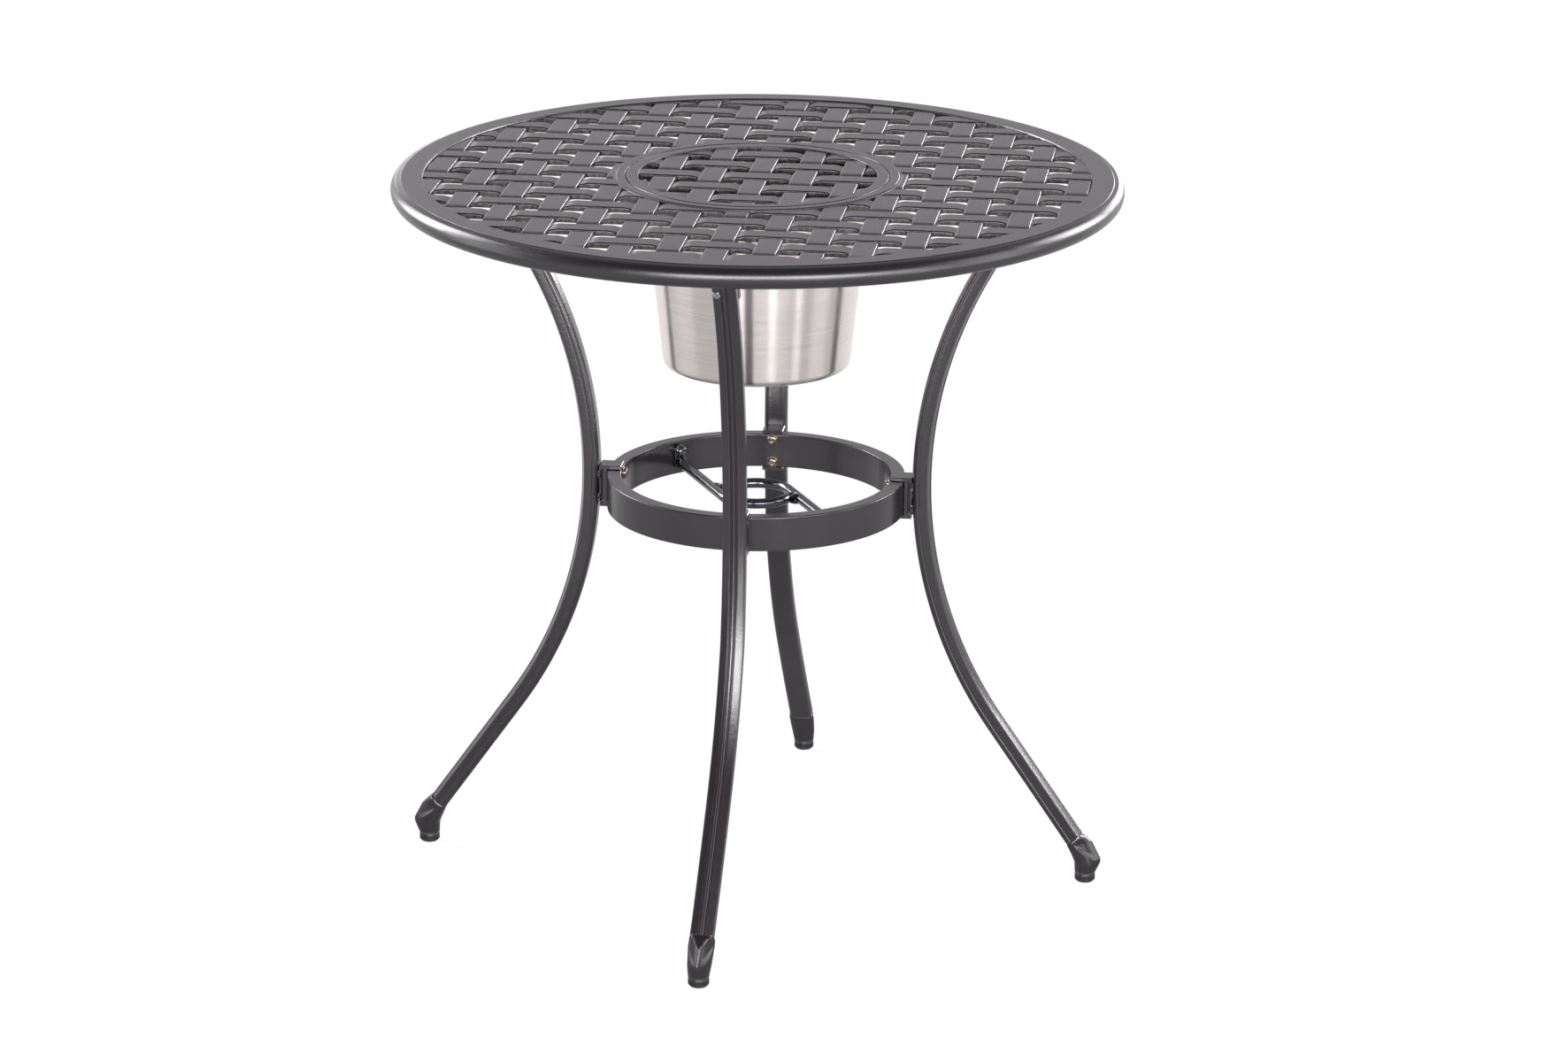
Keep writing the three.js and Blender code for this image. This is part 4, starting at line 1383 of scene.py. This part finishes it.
class PATIO_OT_fixings(bpy.types.Operator):
    """Builds the screws"""

    bl_idname = "patio.fixings"
    bl_label = "Fixings"

    def execute(self, context):
        settings = context.scene.patio_table
        ring, leg = settings.stretcher, settings.leg
        washer_sunk, into_bracket, into_ring = 0.7 * MM, 5.3 * MM, 9 * MM
        inner = ring.radius - ring.thickness
        seat = inner - washer_sunk
        grip = ring.radius + into_bracket - seat
        for side in CORNERS:
            corner = corner_matrix(side, leg.frame_turn)
            for level, offset in (("upper", ring.spacing / 2), ("lower", -ring.spacing / 2)):
                place = along_x(seat, ring.middle + offset)
                self.screw(f"ring_screw_{side}_{level}", ring, grip, corner @ place)
            self.leg_screw(side, leg, corner)
        tab_face = tab_seat(ring) - ring.tab_thickness - SEAT
        grip = inner + into_ring - tab_face
        height = ring.middle - ring.rod_drop + ring.tab_rise
        for side, angle in ROD_TURNS.items():
            matrix = Matrix.Rotation(math.radians(angle), 4, "Z")
            place = along_x(tab_face, height)
            self.screw(f"crossbar_screw_{side}", ring, grip, matrix @ place, coat_of_crossbar)
        return {"FINISHED"}

    @staticmethod
    def screw(node, sizes, shank, matrix, coat=None):
        """Washer-headed screw with a hexagon socket; the head lies below zero, the shank runs up."""
        washer, head, height = sizes.washer_thickness, sizes.head, sizes.head_height
        low = -washer - height
        edge, socket, socket_depth = 0.35 * MM, 3.6 * MM, 2 * MM
        mouth_share, top_share = 0.66, 0.72
        # the dome as shares of the head's radius and height
        dome_shares = ((0.9, 0.24), (0.985, 0.48), (1, 0.7))
        rings = [
            hexagon_ring(socket, low + socket_depth),
            hexagon_ring(socket, low + edge / 2),
            circle(socket * mouth_share, low),
            circle(head * top_share, low + edge / 2),
            *(circle(head * out, low + height * up) for out, up in dome_shares),
            circle(head, -washer),
            circle(sizes.washer - edge, -washer),
            circle(sizes.washer, -washer + edge),
            circle(sizes.washer, 0),
            circle(sizes.screw, 0),
            circle(sizes.screw, shank - edge),
            circle(sizes.screw - edge, shank),
        ]
        mesh = bmesh.new()
        skin(mesh, rings)
        add_piece(f"{node}_plated", mesh, "plated_fixings", [node], matrix=matrix, coat=coat)

    @staticmethod
    def leg_screw(side, leg, corner):
        """Hexagon screw through the leg into its lug."""
        radius, lean = leg_line(leg, leg.screw_height)
        place = Matrix.Translation((radius, -leg.screw_offset, leg.screw_height))
        matrix = corner @ place @ Matrix.Rotation(math.pi / 2 + lean, 4, "Y")
        across, tall, shank, edge = 8 * MM, 3.6 * MM, 2.5 * MM, 0.5 * MM
        corner_share = 0.88
        rings = [
            circle(shank - edge, -leg.screw_end),
            circle(shank, edge - leg.screw_end),
            circle(shank, leg.screw_seat),
            hexagon_ring(across, leg.screw_seat),
            hexagon_ring(across, leg.screw_seat + tall - edge),
            hexagon_ring(across, leg.screw_seat + tall, corner_share),
        ]
        mesh = bmesh.new()
        skin(mesh, rings)
        node = f"leg_screw_{side}"
        coat = coat_of_leg_screws
        add_piece(f"{node}_plated", mesh, "plated_fixings", [node], matrix=matrix, coat=coat)


# Stage

WHITE = (1.0, 1.0, 1.0)
BLACK = (0.0, 0.0, 0.0)
# Soft boxes and lamps round the table: turn in degrees from the camera's side, distance, heights
# of the foot and of the head, and width in metres, and brightness
LAMPS = {
    "left_softbox": (-88, 2.4, 0.1, 2.3, 1.1, 1.6),
    "right_softbox": (74, 2.4, 0.1, 2.2, 0.9, 2.6),
    "front_softbox": (5, 3.0, 0.7, 1.55, 3.6, 11.0),
    "left_lamp": (-122, 3.0, 0.9, 2.9, 1.3, 13.0),
    "right_lamp": (116, 3.0, 0.9, 2.2, 1.3, 13.0),
    "left_strip": (-19, 2.6, 0.0, 1.5, 0.36, 5.5),
    "middle_strip": (17, 2.6, 0.0, 1.5, 0.36, 5.0),
    "right_strip": (46, 2.6, 0.0, 1.5, 0.36, 5.5),
}


def level_ways(view):
    """Level directions as the camera sees them: away from it, and to its right."""
    sine, cosine = math.sin(view.azimuth), math.cos(view.azimuth)
    return (-sine, cosine, 0.0), (cosine, sine, 0.0)


class PATIO_OT_stage(bpy.types.Operator):
    """Sets up the floor, the light and the camera"""

    bl_idname = "patio.stage"
    bl_label = "Stage"

    def execute(self, context):
        settings = context.scene.patio_table
        self.floor(settings.finish, settings.view)
        self.world(context.scene, settings.view)
        self.lamps(settings.view)
        self.camera(context.scene, settings.view)
        context.scene.view_settings.view_transform = "Standard"
        return {"FINISHED"}

    @staticmethod
    def floor(colours, view):
        """Pale floor that keeps the shadow near the table and is plain white further out."""
        reach, shadow_start, shadow_end = 30, 0.45, 1.1
        behind_start, behind_end = 0.3, 1.5
        seen_share, dimming, behind_share, far_share = 0.95, 0.68, 0.28, 0.26
        mesh = bmesh.new()
        bmesh.ops.create_grid(mesh, x_segments=1, y_segments=1, size=reach)
        data = bpy.data.meshes.new("floor")
        mesh.to_mesh(data)
        mesh.free()
        floor = bpy.data.objects.new("floor", data)
        bpy.context.scene.collection.objects.link(floor)
        coat = Coat("floor_white")
        far = coat.step(coat.reach(coat.place()), shadow_start, shadow_end)
        glossy = coat.ray("Glossy")
        seen = (coat.ray("Camera") + glossy + coat.ray("Transmission")).clamped()
        glowing = far.maths("MAXIMUM", seen * seen_share)
        # polished pieces mirror a dimmer floor, less dim far out and behind the table
        depth = coat.dot(coat.place(), level_ways(view)[0])
        behind = coat.step(depth, behind_start, behind_end)
        mirrored = 1 + glossy * (behind * behind_share + far * far_share - dimming)
        coat.surface(Base_Color=tuple(colours.floor), Roughness=0.9, Specular_IOR_Level=0.0)
        glow = coat.add("ShaderNodeEmission", {}, coat.blend(mirrored, BLACK, WHITE))
        body = Field(coat, coat.shader.outputs[0])
        mixed = coat.add("ShaderNodeMixShader", {}, glowing, body, glow)
        coat.feed(coat.found("OUTPUT_MATERIAL").inputs["Surface"], mixed)
        data.materials.append(coat.material)

    @staticmethod
    def world(scene, view):
        """White studio wall behind the table with two bright strips, dim in front and overhead.

        The strips are what the polished edges of the top and the frame mirror.
        """
        front, back = (0.22, 0.215, 0.225), (0.78, 0.74, 0.78)
        ceiling_front, ceiling_back = (0.04, 0.04, 0.043), (0.42, 0.4, 0.42)
        strip, door_share = (11.0, 11.0, 11.2), 0.2
        world = bpy.data.worlds.new("studio")
        world.use_nodes = True
        scene.world = world
        nodes = Nodes(world.node_tree)
        way = nodes.add("ShaderNodeTexCoord", {}, take="Generated")
        behind, across = (nodes.dot(way, level_way) for level_way in level_ways(view))
        up = nodes.part(way, "Z")
        walls = nodes.blend(nodes.step(behind, -0.5, 0.5), front, back)
        window = nodes.between(across, (0.22, 0.28), (0.5, 0.55))
        door = nodes.between(across, (-0.34, -0.28), (-0.14, -0.08))
        lit = nodes.step(behind, 0.2, 0.5) * (1 - nodes.step(up, 0.15, 0.2))
        band = (window + door * door_share) * lit
        ceiling = nodes.blend(nodes.step(behind, -0.05, 0.35), ceiling_front, ceiling_back)
        room = nodes.blend(nodes.step(up, 0.2, 0.62), nodes.blend(band, walls, strip), ceiling)
        sky = nodes.found("BACKGROUND")
        nodes.feed(sky.inputs["Color"], nodes.blend(nodes.ray("Camera"), room, WHITE))
        nodes.feed(sky.inputs["Strength"], 1.0)

    @staticmethod
    def lamps(view):
        """Lamps round the table, each turned level towards its middle."""
        for name, (turned, distance, foot, head, width, brightness) in LAMPS.items():
            data = bpy.data.lights.new(name, "AREA")
            data.shape = "RECTANGLE"
            data.size, data.size_y = width, head - foot
            data.energy = brightness * math.pi * width * (head - foot)
            lamp = bpy.data.objects.new(name, data)
            angle = view.azimuth + math.radians(turned)
            inwards = Vector((-math.sin(angle), math.cos(angle), 0)) * distance
            lamp.location = Vector((0, 0, (foot + head) / 2)) - inwards
            lamp.rotation_mode = "QUATERNION"
            lamp.rotation_quaternion = inwards.to_track_quat("-Z", "Y")
            bpy.context.scene.collection.objects.link(lamp)

    @staticmethod
    def camera(scene, view):
        """Camera at the place and angle of the photograph."""
        sensor_width, clip_end = 36, 100
        level, rise = math.cos(view.elevation), math.sin(view.elevation)
        back = Vector((math.sin(view.azimuth) * level, -math.cos(view.azimuth) * level, rise))
        right = (-back).cross(Vector((0, 0, 1))).normalized()
        up = right.cross(-back)
        ahead = -back * math.cos(view.pan) * math.cos(view.tilt)
        ahead += right * math.sin(view.pan) * math.cos(view.tilt) + up * math.sin(view.tilt)
        ahead.normalize()
        right = (right - ahead * right.dot(ahead)).normalized()
        up = right.cross(ahead)
        rolled_right = right * math.cos(view.roll) + up * math.sin(view.roll)
        rolled_up = up * math.cos(view.roll) - right * math.sin(view.roll)
        data = bpy.data.cameras.new("camera")
        data.sensor_width = sensor_width
        data.lens = view.focal / MM
        data.clip_end = clip_end
        camera = bpy.data.objects.new("camera", data)
        place = Vector((0, 0, view.target)) + back * view.distance
        axes = Matrix((rolled_right, rolled_up, -ahead)).transposed()
        camera.matrix_world = Matrix.Translation(place) @ axes.to_4x4()
        scene.collection.objects.link(camera)
        scene.camera = camera


class PATIO_PT_panel(bpy.types.Panel):
    """Lists the steps that build the table"""

    bl_idname = "PATIO_PT_panel"
    bl_label = "Patio Table"
    bl_space_type = "VIEW_3D"
    bl_region_type = "UI"
    bl_category = "Patio Table"

    def draw(self, context):
        for operator in OPERATORS:
            self.layout.operator(operator.bl_idname)
        settings = context.scene.patio_table
        for part in TableSettings.__annotations__:
            group = getattr(settings, part)
            box = self.layout.box()
            for name in group.__annotations__:
                box.prop(group, name)


OPERATORS = (
    PATIO_OT_top,
    PATIO_OT_lid,
    PATIO_OT_bucket,
    PATIO_OT_legs,
    PATIO_OT_feet,
    PATIO_OT_stretcher,
    PATIO_OT_crossbar,
    PATIO_OT_fixings,
    PATIO_OT_stage,
)
GROUPS = (
    WeaveSizes,
    TopSizes,
    BucketSizes,
    LegSizes,
    FootSizes,
    StretcherSizes,
    Finishes,
    PhotoView,
    TableSettings,
)


CLASSES = (*GROUPS, *OPERATORS, PATIO_PT_panel)


def register():
    """Registers the classes and the settings."""
    for item in CLASSES:
        bpy.utils.register_class(item)
    bpy.types.Scene.patio_table = PointerProperty(type=TableSettings)


def unregister():
    """Removes the settings and the classes."""
    del bpy.types.Scene.patio_table
    for item in reversed(CLASSES):
        bpy.utils.unregister_class(item)


def main():
    """Builds the table and its stage."""
    register()
    bpy.ops.patio.top()
    bpy.ops.patio.lid()
    bpy.ops.patio.bucket()
    bpy.ops.patio.legs()
    bpy.ops.patio.feet()
    bpy.ops.patio.stretcher()
    bpy.ops.patio.crossbar()
    bpy.ops.patio.fixings()
    bpy.ops.patio.stage()


if __name__ == "__main__":
    main()
